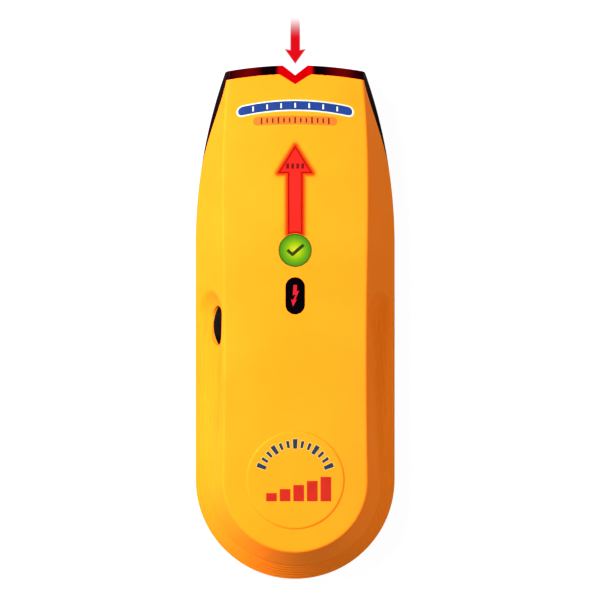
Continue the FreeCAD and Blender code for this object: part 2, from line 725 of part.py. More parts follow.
def contact_snaps():
    """The bay's socket and stud, which face the battery."""
    return group([snap_socket(-SNAP_X, PLATE_LOW_Y, -1), snap_stud(SNAP_X, PLATE_LOW_Y, -1)])


def lead(points, diameter):
    """A wire along straight runs, with each corner rounded by an arc tangent to both of its runs."""
    edges = []
    at = points[0]
    for i in range(1, len(points) - 1):
        before = (points[i] - points[i - 1])
        after = (points[i + 1] - points[i])
        reach = 0.45 * min(before.Length, after.Length)
        start = points[i] - before.normalize() * reach
        end = points[i] + after.normalize() * reach
        bend = (start + end) * 0.5 - points[i]
        half_turn = before.getAngle(after) / 2
        radius = reach / math.tan(half_turn)
        to_centre = radius / math.cos(half_turn)
        middle = points[i] + bend.normalize() * (to_centre - radius)
        edges.append(Part.makeLine(at, start))
        edges.append(Part.Arc(start, middle, end).toShape())
        at = end
    edges.append(Part.makeLine(at, points[-1]))
    path = Part.Wire(edges)
    profile = Part.Wire([Part.makeCircle(diameter / 2, points[0], points[1] - points[0])])
    return path.makePipeShell([profile], True, False)


def battery_lead(side):
    """Lead from a snap's tail down to the main board."""
    start_y = PLATE_LOW_Y + PLATE_THICK
    return lead([V(side * SNAP_X, start_y, BATTERY_MID_Z), V(side * SNAP_X, start_y + 4.5, BATTERY_MID_Z),
                 V(side * 8.6, start_y + 10.5, BATTERY_MID_Z - 1.0),
                 V(side * 8.6, start_y + 10.5, BOARD_TOP)], 1.3)


def piezo_lead(side):
    """Lead from the sounder over the battery to the main board."""
    x = side * 3.0
    start_y = PIEZO_Y + 8.6
    return lead([V(x, start_y, PIEZO_Z - 0.45), V(x, start_y + 7.0, PIEZO_Z - 0.45),
                 V(x * 1.2, start_y + 14.5, PIEZO_Z - 2.2), V(x * 1.4, start_y + 21.0, PIEZO_Z - 6.5),
                 V(x * 1.3, start_y + 26.4, PIEZO_Z - 12.5), V(x * 1.3, start_y + 26.4, BOARD_TOP)], 0.9)


# ---------------------------------------------------------------- door

def battery_door():
    """Door over the bay: a plate with a hinge barrel at one end and a notch for the latch at the other."""
    low_z = DOOR_RECESS
    plate = box(-DOOR_HALF, DOOR_HALF, DOOR_LOW_Y, HINGE_Y, low_z, low_z + DOOR_THICK)
    barrel = rod(BARREL_R, V(-DOOR_HALF, HINGE_Y, HINGE_Z), X_AXIS, 2 * DOOR_HALF)
    pins = [rod(PIN_R, V(side * DOOR_HALF, HINGE_Y, HINGE_Z), V(side, 0, 0), 1.8) for side in (-1, 1)]
    rail_z = low_z + DOOR_THICK
    rails = [box(side * 9.5 - 0.6, side * 9.5 + 0.6, -66.0, -30.0, rail_z, BATTERY_Z - SEAT_GAP)
             for side in (-1, 1)]
    notch = box(-LATCH_HALF - GAP, LATCH_HALF + GAP, DOOR_LOW_Y - 1, -69.6, -1, 5)
    bore = rod(LATCH_PIN_R + 0.05, V(-LATCH_HALF - 1.6, LATCH_PIVOT_Y, LATCH_PIVOT_Z), X_AXIS,
               2 * LATCH_HALF + 3.2)
    return fuse([plate, barrel] + pins + rails).cut(notch).cut(bore)


def door_latch():
    """Latch in the door's free end: a finger pad on two stub pins and an upright leg with a snap nub."""
    pad = box(-LATCH_HALF, LATCH_HALF, DOOR_LOW_Y, -69.8, DOOR_RECESS, DOOR_RECESS + 1.6)
    leg = box(-LATCH_HALF + 1, LATCH_HALF - 1, LATCH_PIVOT_Y - 0.6, LATCH_PIVOT_Y + 0.5, DOOR_RECESS, 7.0)
    back_y = LATCH_PIVOT_Y - 0.6
    tip = V(-4, back_y - 0.15, 5.4)
    edge = Part.makePolygon([tip, V(-4, back_y, 6.4), V(-4, back_y, 4.8), tip])
    nub = Part.Face(edge).extrude(V(8, 0, 0))
    pin = rod(LATCH_PIN_R, V(-LATCH_HALF - 1.4, LATCH_PIVOT_Y, LATCH_PIVOT_Z), X_AXIS, 2 * LATCH_HALF + 2.8)
    return fuse([pad, leg, nub, pin])


def door_foam():
    """Foam strip on the door that stops the battery rattling."""
    low_z = DOOR_RECESS + DOOR_THICK
    return box(-7.5, 7.5, -64.0, -34.0, low_z, BATTERY_Z - SEAT_GAP)


# ---------------------------------------------------------------- fasteners

def case_screws():
    """Four pan-head screws up through the back."""
    screws = []
    for x, y in CASE_SCREWS:
        head = rod(2.7, V(x, y, 0.7), Z_AXIS, 1.9)
        cross = [box(x - a, x + a, y - b, y + b, 0.6, 1.6) for a, b in ((1.6, 0.3), (0.3, 1.6))]
        shank = rod(1.25, V(x, y, 2.5), Z_AXIS, 12.0)
        screws.append(fuse([head, shank]).cut(cross[0]).cut(cross[1]))
    return group(screws)


def board_screws():
    """Four small screws that hold the main board down."""
    screws = []
    for x, y in BOARD_SCREWS:
        head = rod(2.0, V(x, y, BOARD_TOP), Z_AXIS, 1.3)
        shank = rod(0.9, V(x, y, 2.8), Z_AXIS, BOARD_TOP - 2.8)
        cross = [box(x - a, x + a, y - b, y + b, BOARD_TOP + 0.7, 20) for a, b in ((1.2, 0.25), (0.25, 1.2))]
        screws.append(fuse([head, shank]).cut(cross[0]).cut(cross[1]))
    return group(screws)


# ---------------------------------------------------------------- assembly

def build():
    """Every node of the tool, by name."""
    upper, lower = envelope()
    upper_inside = cavity(SPLIT_Z, LOFT_TOP_Z)
    lower_inside = cavity(WALL, SPLIT_Z + 6)
    return {
        "front_shell": front_shell(upper, upper_inside),
        "back_shell": back_shell(lower, lower_inside),
        "nose_lens": nose_lens(upper, upper_inside),
        "back_label": back_label(),
        "arrow_window": arrow_window(),
        "ready_window": ready_window(),
        "hazard_window": hazard_window(),
        "bolt_window": bolt_window(),
        "light_shroud": light_shroud(),
        "main_board": main_board(),
        "sensor_plates": sensor_plates(),
        "controller_chip": group(CHIPS["controller_chip"][0]),
        "sensing_chip": group(CHIPS["sensing_chip"][0]),
        "chip_pins": chip_pins(),
        "resistors": resistors(),
        "ceramic_capacitors": ceramic_capacitors(),
        "can_capacitors": can_capacitors(),
        "arrow_lamps": arrow_lamps(),
        "ready_lamp": ready_lamp(),
        "hazard_lamp": hazard_lamp(),
        "pointer_lamps": pointer_lamps(),
        "pointer_legs": pointer_legs(),
        "switch_board": switch_board(),
        "board_header": board_header(),
        "header_pins": header_pins(),
        "switch_body": switch_body(),
        "switch_plunger": switch_plunger(),
        "side_button": side_button(),
        "piezo_disc": piezo_disc(),
        "piezo_ceramic": piezo_ceramic(),
        "battery_can": battery_can(),
        "battery_cells": battery_cells(),
        "battery_header": battery_header(),
        "battery_snaps": battery_snaps(),
        "contact_plate": contact_plate(),
        "contact_snaps": contact_snaps(),
        "battery_lead_red": battery_lead(-1),
        "battery_lead_black": battery_lead(1),
        "piezo_lead_red": piezo_lead(-1),
        "piezo_lead_black": piezo_lead(1),
        "battery_door": battery_door(),
        "door_latch": door_latch(),
        "door_foam": door_foam(),
        "case_screws": case_screws(),
        "board_screws": board_screws(),
    }


def main():
    """Writes each node to its own file."""
    os.makedirs("parts", exist_ok=True)
    for name, shape in build().items():
        solids = shape.Solids
        state = "ok" if shape.isValid() and solids else "BAD"
        print(f"{name:20s} {state} solids {len(solids)} volume {shape.Volume:9.1f}")
        shape.exportStep(f"parts/{name}.step")


main()
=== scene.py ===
"""Looks for the stud finder: an amber case with a smoked nose lens, lying on its flat back.

Lengths in the shape functions are millimetres and become metres in make_mesh. +Y points to the nose,
+X to the right and +Z out of the front face. The case's formulas repeat the CAD source's dimensions.
"""

import json
import math

import bpy
import numpy as np
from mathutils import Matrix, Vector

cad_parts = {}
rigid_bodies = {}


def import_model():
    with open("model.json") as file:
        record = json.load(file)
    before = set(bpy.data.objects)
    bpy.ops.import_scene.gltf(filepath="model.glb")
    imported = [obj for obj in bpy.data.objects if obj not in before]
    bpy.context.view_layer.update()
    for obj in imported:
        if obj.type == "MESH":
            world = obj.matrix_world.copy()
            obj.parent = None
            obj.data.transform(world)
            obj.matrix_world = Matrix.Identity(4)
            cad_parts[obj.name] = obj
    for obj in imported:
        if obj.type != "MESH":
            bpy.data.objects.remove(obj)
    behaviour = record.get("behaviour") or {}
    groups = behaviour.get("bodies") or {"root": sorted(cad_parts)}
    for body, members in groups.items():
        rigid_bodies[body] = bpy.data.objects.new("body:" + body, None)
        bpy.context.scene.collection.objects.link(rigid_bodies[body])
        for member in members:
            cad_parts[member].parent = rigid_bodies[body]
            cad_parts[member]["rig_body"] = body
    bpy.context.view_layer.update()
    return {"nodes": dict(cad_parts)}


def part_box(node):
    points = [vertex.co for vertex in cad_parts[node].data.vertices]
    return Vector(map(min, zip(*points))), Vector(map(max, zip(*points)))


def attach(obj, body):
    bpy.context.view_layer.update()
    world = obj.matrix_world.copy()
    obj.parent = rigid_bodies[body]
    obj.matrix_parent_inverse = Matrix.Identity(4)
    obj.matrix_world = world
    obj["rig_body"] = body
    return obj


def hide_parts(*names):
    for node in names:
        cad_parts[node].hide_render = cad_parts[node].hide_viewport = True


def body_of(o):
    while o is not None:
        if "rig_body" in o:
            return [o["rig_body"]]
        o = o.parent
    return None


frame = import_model()

MM = 0.001

# The case, in millimetres
SPLIT_Z = 12.0                              # joint between the two mouldings
HEIGHT = 31.0                               # crest of the front face
SLOPE_TOP_Z = 32.0                          # where the sides' upper outline is given
LOW_OUTLINE = (32.0, 22.5)                  # half widths at the split: along the sides, at the nose
HIGH_OUTLINE = (21.78, 21.4)                # the same at SLOPE_TOP_Z
TAIL_Y = -50.5                              # centre of the round tail and of the pad
TAPER_Y = 25.0                              # where the sides start to close towards the nose
CORNER_Y = 80.4                             # nose corners
CREST_Y = -12.0                             # highest line of the face
ACROSS, ALONG = 240.0, 1100.0               # the face's two crown radii
RIM_ROUND = 1.0                             # rounding between the sides and the face
WALL = 2.0                                  # thickness of the front moulding
LENS_BAND = 2.75                            # width of the lens seen from above
NOSE_Y, NOSE_R = 82.5, 125.0                # front line at the notch's edge, and its radius
NOTCH_HALF, NOTCH_DEPTH = 4.0, 3.15
NOTCH_WIDENING = 0.36                       # gain in half width for each millimetre moved back
WING = ((79.75, 27.5), (66.0, 16.6), (43.0, SPLIT_Z))   # y, z points on the lens wings' top edge
SCOOP_R, SCOOP_SOFT, SCOOP_REACH = 12.2, 0.55, 6.0      # radius, softness of its edge, reach past it
SCOOP_A = np.array([35.7, 2.2, 25.2])       # ends of the right-hand scoop's axis
SCOOP_B = np.array([38.0, -58.0, 27.5])
GROOVE_Z, GROOVE_PITCH = 12.55, 1.5         # lowest groove, and the height between two
GROOVE_DEPTH, GROOVE_WIDTH = 0.27, 0.27     # depth in millimetres, width as a part of the pitch
EMBLEM_R, PAD_RISE = 15.8, 0.4

# Openings and their windows
GAP = 0.06                                  # all round each window
ARROW_TIP_Y, ARROW_BASE_Y = 56.8, 48.0
ARROW_HEAD, ARROW_SHAFT = 5.5, 2.3          # half widths
ARROW_FOOT_R = 5.65                         # circle about the round window that cuts the arrow's foot
READY_Y, READY_R = 23.2, 5.3
HAZARD_Y, HAZARD_LONG, HAZARD_SHORT = 8.6, 5.9, 3.05
BUTTON_Y, BUTTON_Z = -1.0, 20.5
BUTTON_LONG, BUTTON_SHORT = 6.4, 3.6

# Stations along the case
FIRST_Y, STRETCH_Y = 77.9, 60.0             # stations between these lean to follow the nose's line
CLOSE_FROM_Y, CLOSE_TO_Y = 14.0, -14.0      # closer stations here, round the scoops' front ends

# Printed marks
BANNER_TOP, BANNER_R = 69.75, 78.0          # crest and radius of the banner's arch
PILL_TOP, PILL_R = 65.0, 190.0              # and of the ruled pill's
SCALE_R = 11.6                              # dial scale about the pad's centre
BARS_Y = -57.3                              # foot of the level bars

SHARP_NEW, SHARP_SHELL, SHARP_SKIN = 38, 42, 28         # degrees over which an edge stays sharp
FLOOR_Z = -0.3                              # under the base, so that the two don't share a plane


# ------------------------------------------------------------------ shape formulas

def crown(x, y):
    """Height of the front face: an arc of radius ACROSS over x, itself swung on a radius ALONG over y."""
    reach = ALONG - ACROSS + np.sqrt(ACROSS ** 2 - x ** 2)
    return HEIGHT - ALONG + np.sqrt(reach ** 2 - (y - CREST_Y) ** 2)


def arc_side(y, half, corner):
    """Half width at y: half up to TAPER_Y, then a circle tangent to it that meets corner at CORNER_Y."""
    lean = half - corner
    radius = (lean ** 2 + (CORNER_Y - TAPER_Y) ** 2) / (2 * lean)
    ahead = np.maximum(y - TAPER_Y, 0.0)
    return half - radius + np.sqrt(radius ** 2 - ahead ** 2)


def side_x(y, z):
    """Half width at y and z: a straight line between the outlines at SPLIT_Z and SLOPE_TOP_Z."""
    low = arc_side(y, *LOW_OUTLINE)
    high = arc_side(y, *HIGH_OUTLINE)
    return low + (high - low) * (z - SPLIT_Z) / (SLOPE_TOP_Z - SPLIT_Z)


def nose_y(x, shift):
    """Front line of the nose moved back by shift: an arc with a straight-sided notch in it."""
    half = NOTCH_HALF + NOTCH_WIDENING * shift
    centre_y = NOSE_Y - math.sqrt(NOSE_R ** 2 - NOTCH_HALF ** 2)
    arc = centre_y + np.sqrt(NOSE_R ** 2 - x ** 2)
    at_half = centre_y + math.sqrt(NOSE_R ** 2 - half ** 2)
    notch = at_half - NOTCH_DEPTH * (1 - np.abs(x) / half)
    return np.where(np.abs(x) < half, notch, arc) - shift


def wing_z(y):
    """Top edge of the lens wings: the circle through the points of WING, and behind them the split."""
    (y0, z0), (y1, z1), (y2, z2) = WING
    a = np.array([[y1 - y0, z1 - z0], [y2 - y1, z2 - z1]])
    b = np.array([y1 ** 2 - y0 ** 2 + z1 ** 2 - z0 ** 2, y2 ** 2 - y1 ** 2 + z2 ** 2 - z1 ** 2]) / 2
    cy, cz = np.linalg.solve(a, b)
    r = math.hypot(y0 - cy, z0 - cz)
    on_arc = cz - np.sqrt(np.maximum(r ** 2 - (y - cy) ** 2, 0.0))
    return np.where(y > y2, np.maximum(on_arc, SPLIT_Z), SPLIT_Z)


def scooped(p):
    """Points inside the thumb scoop's rod move out to its radius, away from its axis, with a soft edge."""
    q = p.copy()
    q[..., 0] = np.abs(q[..., 0])
    along = SCOOP_B - SCOOP_A
    along = along / np.linalg.norm(along)
    t = np.maximum((q - SCOOP_A) @ along, 0.0)
    foot = SCOOP_A + t[..., None] * along
    r = q - foot
    d = np.linalg.norm(r, axis=-1)
    new = (d + SCOOP_R + np.sqrt((d - SCOOP_R) ** 2 + SCOOP_SOFT ** 2)) / 2
    new = np.where(d > SCOOP_R + SCOOP_REACH, d, new)
    q = foot + r * (new / np.maximum(d, 1e-6))[..., None]
    q[..., 0] *= np.where(p[..., 0] < 0, -1.0, 1.0)
    return q


def grid_normals(p):
    """Unit normals of a grid of points: the cross product of its two parameter derivatives."""
    n = np.cross(np.gradient(p, axis=1), np.gradient(p, axis=0))
    return n / np.maximum(np.linalg.norm(n, axis=-1, keepdims=True), 1e-9)


def smoothstep(a, b, x):
    """0 below a, 1 above b, and a smooth cubic between."""
    t = np.clip((x - a) / (b - a), 0.0, 1.0)
    return t * t * (3 - 2 * t)


def grid_faces(rows, cols, flip=False):
    """Quads between neighbouring points of a rows by cols grid."""
    i = np.arange(rows * cols).reshape(rows, cols)
    q = np.stack([i[:-1, :-1], i[:-1, 1:], i[1:, 1:], i[1:, :-1]], axis=-1).reshape(-1, 4)
    return q[:, ::-1] if flip else q


def make_mesh(name, verts, faces, material, body="case", smooth=True):
    """A new object from millimetre points and faces, riding on one body, or on none."""
    mesh = bpy.data.meshes.new(name)
    mesh.from_pydata((np.asarray(verts).reshape(-1, 3) * MM).tolist(), [], [list(f) for f in faces])
    mesh.update()
    if smooth:
        mesh.shade_smooth()
        mesh.set_sharp_from_angle(angle=math.radians(SHARP_NEW))
    obj = bpy.data.objects.new(name, mesh)
    bpy.context.scene.collection.objects.link(obj)
    if material:
        mesh.materials.append(material)
    if body:
        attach(obj, body)
    return obj


def prism(name, outline, axis, low, high):
    """A closed prism: an outline, counter-clockwise seen from its high end, carried from low to high."""
    n = len(outline)
    flat = np.asarray(outline, float)
    verts = np.vstack([np.insert(flat, axis, level, axis=1) for level in (low, high)])
    k = np.arange(n)
    sides = np.stack([k, (k + 1) % n, (k + 1) % n + n, k + n], axis=1).tolist()
    faces = sides + [k[::-1].tolist(), (k + n).tolist()]
    return make_mesh(name, verts, faces, None, body=None, smooth=False)


def circle_points(cx, cy, r, start=0.0, turn=2 * math.pi, count=64):
    """Points on a circle about (cx, cy), from angle start through turn."""
    a = start + np.linspace(0.0, turn, count, endpoint=abs(turn) < 6.28)
    return np.stack([cx + r * np.cos(a), cy + r * np.sin(a)], axis=1)


def arrow_outline(grow=0.0):
    """The arrow window's outline grown by grow: its foot follows a circle about the round window."""
    tall = ARROW_TIP_Y - ARROW_BASE_Y
    side = math.hypot(ARROW_HEAD, tall)
    tip = ARROW_TIP_Y + grow * side / ARROW_HEAD
    head = ARROW_HEAD + grow * (side + ARROW_HEAD) / tall
    shaft = ARROW_SHAFT + grow
    base = ARROW_BASE_Y - grow
    r = ARROW_FOOT_R - grow
    foot = math.asin(shaft / r)
    arc = circle_points(0.0, READY_Y, r, math.pi / 2 - foot, 2 * foot, 9)[::-1]
    right = [(shaft, base), (head, base), (0.0, tip)]
    return np.vstack([arc, right, [(-head, base), (-shaft, base)]])


def stadium(cx, cy, half_long, half_short, count=24):
    """A round-ended outline, long in its second coordinate."""
    straight = half_long - half_short
    top = circle_points(cx, cy + straight, half_short, 0.0, math.pi, count)
    low = circle_points(cx, cy - straight, half_short, math.pi, math.pi, count)
    return np.vstack([top, low])


# ------------------------------------------------------------------ materials

def rgb(code, alpha=1.0):
    """Linear colour from an sRGB hex code."""
    c = [int(code[i:i + 2], 16) / 255 for i in (0, 2, 4)]
    return tuple(v / 12.92 if v <= 0.04045 else ((v + 0.055) / 1.055) ** 2.4 for v in c) + (alpha,)


def add(tree, kind, links=None, values=None, **settings):
    """A node with its settings, its sockets' values, and links from other nodes' outputs."""
    made = tree.nodes.new(kind)
    for key, value in settings.items():
        setattr(made, key, value)
    for key, value in (values or {}).items():
        made.inputs[key].default_value = value
    for key, source in (links or {}).items():
        tree.links.new(source, made.inputs[key])
    return made


def start(name, shine=None):
    """A new material with its tree, object coordinates, surface shader (set by shine) and output."""
    m = bpy.data.materials.new(name)
    m.use_nodes = True
    tree = m.node_tree
    tree.nodes.clear()
    out = add(tree, "ShaderNodeOutputMaterial")
    bsdf = add(tree, "ShaderNodeBsdfPrincipled", values=shine)
    tree.links.new(bsdf.outputs[0], out.inputs[0])
    coords = add(tree, "ShaderNodeTexCoord").outputs["Object"]
    return m, tree, coords, bsdf, out


def ramp_of(tree, factor, stops):
    """A colour that follows factor through (place, hex) stops, given in rising order."""
    ramp = add(tree, "ShaderNodeValToRGB", {"Fac": factor})
    elements = ramp.color_ramp.elements
    # A new ramp has two stops, which become the first and the last; the others are added between them.
    for i, (place, code) in enumerate([stops[0], stops[-1]] + stops[1:-1]):
        stop = elements[i] if i < 2 else elements.new(place)
        stop.position = place
        stop.color = rgb(code)
    return ramp.outputs["Color"]


def mottled(tree, low, high, size_mm, coords):
    """A colour that wanders between two close ones over spots of size_mm."""
    noise = add(tree, "ShaderNodeTexNoise", {"Vector": coords},
                {"Scale": 1.0 / (size_mm * MM), "Detail": 3.0})
    return ramp_of(tree, noise.outputs["Fac"], [(0.35, low), (0.65, high)])


def surface_grain(tree, coords, bsdf, size_mm, depth_mm, edge_mm=0.0):
    """Fine moulded grain of size_mm and depth_mm, over edges that are rounded by edge_mm."""
    fine = add(tree, "ShaderNodeTexNoise", {"Vector": coords},
               {"Scale": 1.0 / (size_mm * MM), "Detail": 2.0})
    bump = add(tree, "ShaderNodeBump", {"Height": fine.outputs["Fac"]}, {"Distance": depth_mm * MM})
    if edge_mm:
        soft = add(tree, "ShaderNodeBevel", values={"Radius": edge_mm * MM}, samples=4)
        tree.links.new(soft.outputs[0], bump.inputs["Normal"])
    tree.links.new(bump.outputs[0], bsdf.inputs["Normal"])


def plain(name, low, high, shine, spot=9.0, grain=0.12, lift=0.01, edge=0.0):
    """A solid finish: a colour wandering over spots, a grain raised by lift, and softened edges, in mm."""
    m, tree, coords, bsdf, _ = start(name, shine)
    tree.links.new(mottled(tree, low, high, spot, coords), bsdf.inputs["Base Color"])
    surface_grain(tree, coords, bsdf, grain, lift, edge)
    return m


def case_plastics():
    """Moulded plastics of the case, by use."""
    return {
        # Injection-moulded ABS in amber: deep even colour, a soft wide sheen and a faint satin grain.
        "amber": plain("moulded_abs_amber", "FB9226", "FD962A",
                       {"Roughness": 0.42, "Specular IOR Level": 0.0, "Coat Weight": 0.14,
                        "Coat Roughness": 0.38}, spot=24.0, grain=0.35, lift=0.006),
        # The same resin in charcoal with a spark-eroded grain: a grey bloom at its edges.
        "charcoal": plain("moulded_abs_charcoal", "38383B", "404043",
                          {"Roughness": 0.45, "Specular IOR Level": 0.3}, grain=0.3, lift=0.012, edge=0.25),
        # Small black mouldings: smoother, so their edges catch a thin light line.
        "black": plain("moulded_abs_black", "222224", "2A2A2D", {"Roughness": 0.35},
                       grain=0.2, lift=0.006, edge=0.12),
        # White ABS of the light box: chalky, with no gloss to speak of.
        "white": plain("moulded_abs_white", "D8D7D0", "E2E1DB", {"Roughness": 0.55},
                       grain=0.3, lift=0.01, edge=0.15),
        # Thermoplastic rubber: dark and dry, with a pebbled skin.
        "rubber": plain("santoprene", "0E0E10", "151517", {"Roughness": 0.55, "Specular IOR Level": 0.15},
                        grain=0.25, lift=0.015, edge=0.3),
        # Closed-cell foam: dull charcoal, with pores about a third of a millimetre wide.
        "foam": plain("polyethylene_foam", "303034", "4C4C54",
                      {"Roughness": 0.9, "Specular IOR Level": 0.2},
                      spot=0.7, grain=0.35, lift=0.12, edge=0.3),
    }


def smoked_polycarbonate():
    """Smoked lens: nearly black smoke, with bands of red glints painted along the nose, lit bright red
    round the notch.
    """
    shine = {"Roughness": 0.14, "Specular IOR Level": 0.0, "Coat Weight": 0.04, "Coat Roughness": 0.1,
             "Emission Color": rgb("F00406")}
    m, tree, coords, bsdf, _ = start("smoked_polycarbonate", shine)
    parts = add(tree, "ShaderNodeSeparateXYZ", {"Vector": coords})
    away = add(tree, "ShaderNodeMath", {0: parts.outputs["X"]}, operation="ABSOLUTE").outputs[0]
    cloud = add(tree, "ShaderNodeTexNoise", {"Vector": coords}, {"Scale": 160.0, "Detail": 1.0})
    drift = add(tree, "ShaderNodeMath", {0: cloud.outputs["Fac"]}, {1: 7.0 * MM, 2: -3.5 * MM},
                operation="MULTIPLY_ADD")
    wandering = add(tree, "ShaderNodeMath", {0: away, 1: drift.outputs[0]}, operation="ADD").outputs[0]
    along = add(tree, "ShaderNodeMapRange", {"Value": wandering},
                {"From Min": 5.0 * MM, "From Max": 24.0 * MM}).outputs[0]
    # Painted highlights: maroon bands of red glints laid into the smoke's colour by distance from the
    # centre line, broken up by noise.
    depth = ramp_of(tree, along, [(0.0, "0C0006"), (0.24, "1A0008"), (0.42, "50000A"),
                                  (0.62, "620408"), (0.8, "340008"), (1.0, "1C0008")])
    near = add(tree, "ShaderNodeMapRange", {"Value": away}, {"From Min": 6.5 * MM, "From Max": 4.9 * MM},
               interpolation_type="SMOOTHSTEP").outputs[0]
    ahead = add(tree, "ShaderNodeMapRange", {"Value": parts.outputs["Y"]},
                {"From Min": 73.0 * MM, "From Max": 75.0 * MM}).outputs[0]
    lamp = add(tree, "ShaderNodeMath", {0: near, 1: ahead}, operation="MULTIPLY").outputs[0]
    lit_red = mottled(tree, "8C000A", "96000C", 6.0, coords)
    tint = add(tree, "ShaderNodeMix", data_type="RGBA")
    for place, source in ((0, lamp), (6, depth), (7, lit_red)):
        tree.links.new(source, tint.inputs[place])
    tree.links.new(tint.outputs[2], bsdf.inputs["Base Color"])
    glow = add(tree, "ShaderNodeMath", {0: lamp}, {1: 0.3}, operation="MULTIPLY")
    tree.links.new(glow.outputs[0], bsdf.inputs["Emission Strength"])
    surface_grain(tree, coords, bsdf, 3.0, 0.002, 0.25)
    return m


def green_polycarbonate():
    """Round lens: lamp light painted into its colour and glow, yellow over its lamp, turning green towards
    an olive rim.
    """
    shine = {"Roughness": 0.2, "Specular IOR Level": 0.25, "Emission Strength": 0.2}
    m, tree, coords, bsdf, _ = start("green_polycarbonate", shine)
    flat = add(tree, "ShaderNodeVectorMath", {0: coords}, {1: (1.0, 1.0, 0.0)}, operation="MULTIPLY")
    centre = (0.0, READY_Y * MM, 0.0)
    away = add(tree, "ShaderNodeVectorMath", {0: flat.outputs[0]}, {1: centre}, operation="DISTANCE")
    near = add(tree, "ShaderNodeMapRange", {"Value": away.outputs["Value"]}, {"From Max": READY_R * MM})
    # Painted lamp glow: brightest and yellowest over the lamp, darker and greener towards the rim.
    colour = ramp_of(tree, near.outputs[0], [(0.0, "AFA731"), (0.3, "92A01C"), (0.62, "688E1A"),
                                             (0.9, "4C7A20"), (1.0, "3C5C1C")])
    tree.links.new(colour, bsdf.inputs["Base Color"])
    tree.links.new(colour, bsdf.inputs["Emission Color"])
    surface_grain(tree, coords, bsdf, 3.0, 0.002)
    return m


def lenses():
    """Polished lenses and the lamps behind them, by use."""
    return {
        "smoke": smoked_polycarbonate(),
        "ready": green_polycarbonate(),
        # Red polycarbonate over a row of lamps: an even red that glows of its own.
        "arrow": plain("red_polycarbonate", "C8322C", "D0342E",
                       {"Roughness": 0.2, "Specular IOR Level": 0.2, "Specular Tint": rgb("FF7070"),
                        "Emission Color": rgb("FF2018"), "Emission Strength": 0.1}, grain=3.0, lift=0.002),
        # Black polycarbonate: a piano-black pane.
        "hazard": plain("black_polycarbonate", "060409", "08060B",
                        {"Roughness": 0.14, "Specular IOR Level": 0.25}, grain=3.0, lift=0.002),
        # Clear red acrylic in the pane, glowing faintly of its own: a little pinker than the arrow, and
        # dimmer.
        "bolt": plain("red_acrylic", "A82434", "AE2838",
                      {"Roughness": 0.2, "Specular IOR Level": 0.25, "Emission Color": rgb("FF2030"),
                       "Emission Strength": 0.1}, grain=3.0, lift=0.002),
        # Tinted epoxy of the lamps: wet-looking and bright inside.
        "red_lamp": plain("red_epoxy", "C81818", "DC2020",
                          {"Roughness": 0.08, "Coat Weight": 0.6}, lift=0.0),
        "green_lamp": plain("green_epoxy", "3CA028", "58B83C",
                            {"Roughness": 0.08, "Coat Weight": 0.6}, lift=0.0),
    }


def inks():
    """Pad-printed inks: thin flat colours with a slight sheen, by colour."""
    shades = {"white": ("BEBCB4", "C6C4BC"), "blue": ("25427D", "294886"), "navy": ("2E3F55", "32445C"),
              "orange": ("BC7431", "C07835"), "brown": ("6A2512", "702A14"), "pale": ("BAA268", "C0A86E"),
              "red": ("AA3125", "B03529"), "olive": ("363F1C", "3A4420"), "maroon": ("701814", "761C18")}
    shine = {"Roughness": 0.4, "Specular IOR Level": 0.1}
    return {key: plain("pad_print_" + key, low, high, shine, spot=3.0)
            for key, (low, high) in shades.items()}


def circuit_board():
    """Glass-epoxy board under green solder mask: paler lines 0.4 mm wide where copper runs beneath."""
    shine = {"Roughness": 0.3, "Coat Weight": 0.4, "Coat Roughness": 0.12}
    m, tree, coords, bsdf, _ = start("solder_mask", shine)
    cells = add(tree, "ShaderNodeTexVoronoi", {"Vector": coords},
                {"Scale": 1.0 / (4.0 * MM), "Randomness": 0.35}, distance="CHEBYCHEV", feature="F1")
    rings = add(tree, "ShaderNodeMath", {0: cells.outputs["Distance"]}, {1: 22.0}, operation="MULTIPLY")
    wave = add(tree, "ShaderNodeMath", {0: rings.outputs[0]}, operation="SINE")
    colour = ramp_of(tree, wave.outputs[0], [(0.55, "1C5A34"), (0.75, "2E7E4C")])
    tree.links.new(colour, bsdf.inputs["Base Color"])
    surface_grain(tree, coords, bsdf, 1.2, 0.006, 0.08)
    return m


def board_finishes():
    """Finishes of the boards and what is soldered to them, by use."""
    return {
        "board": circuit_board(),
        # Bare copper foil: warm metal dulled by handling.
        "copper": plain("copper_foil", "B46A42", "C67E52", {"Metallic": 1.0, "Roughness": 0.34},
                        spot=3.0, edge=0.05),
        # Moulded epoxy of the chips and resistors: a dusty black.
        "epoxy": plain("moulded_epoxy", "242426", "2E2E31", {"Roughness": 0.6},
                       grain=0.08, lift=0.006, edge=0.06),
        # Tinned leads and pins: bright, slightly rippled metal.
        "tin": plain("tinned_copper", "B8B8B6", "CCCCC9", {"Metallic": 1.0, "Roughness": 0.26},
                     spot=1.0, edge=0.05),
        # Fired ceramic bodies of the small capacitors: tan and matte.
        "ceramic": plain("fired_ceramic", "8E6C48", "A07C56", {"Roughness": 0.6}, spot=0.8, edge=0.05),
        # Drawn aluminium cans: pale metal with a fine drawn sheen.
        "can": plain("drawn_aluminium", "C2C4C6", "D2D4D6", {"Metallic": 1.0, "Roughness": 0.3},
                     spot=1.5, edge=0.15),
        # Rolled brass of the sounder disc.
        "brass": plain("rolled_brass", "B08A3C", "C29C4E", {"Metallic": 1.0, "Roughness": 0.3},
                       spot=4.0, edge=0.05),
        # Silvered ceramic wafer of the sounder.
        "wafer": plain("silvered_ceramic", "C6C4BC", "D4D2CC", {"Roughness": 0.42}, spot=2.0, edge=0.05),
        # Zinc-plated screws: greyish, faintly mottled metal.
        "zinc": plain("zinc_plated_steel", "9EA2A8", "B6BABE", {"Metallic": 1.0, "Roughness": 0.34},
                      spot=0.8, edge=0.1),
        # PVC sleeves of the leads: soft gloss.
        "red_lead": plain("pvc_red", "A82420", "B82C28", {"Roughness": 0.38}, spot=2.0),
        "black_lead": plain("pvc_black", "1E1E20", "262628", {"Roughness": 0.38}, spot=2.0),
    }


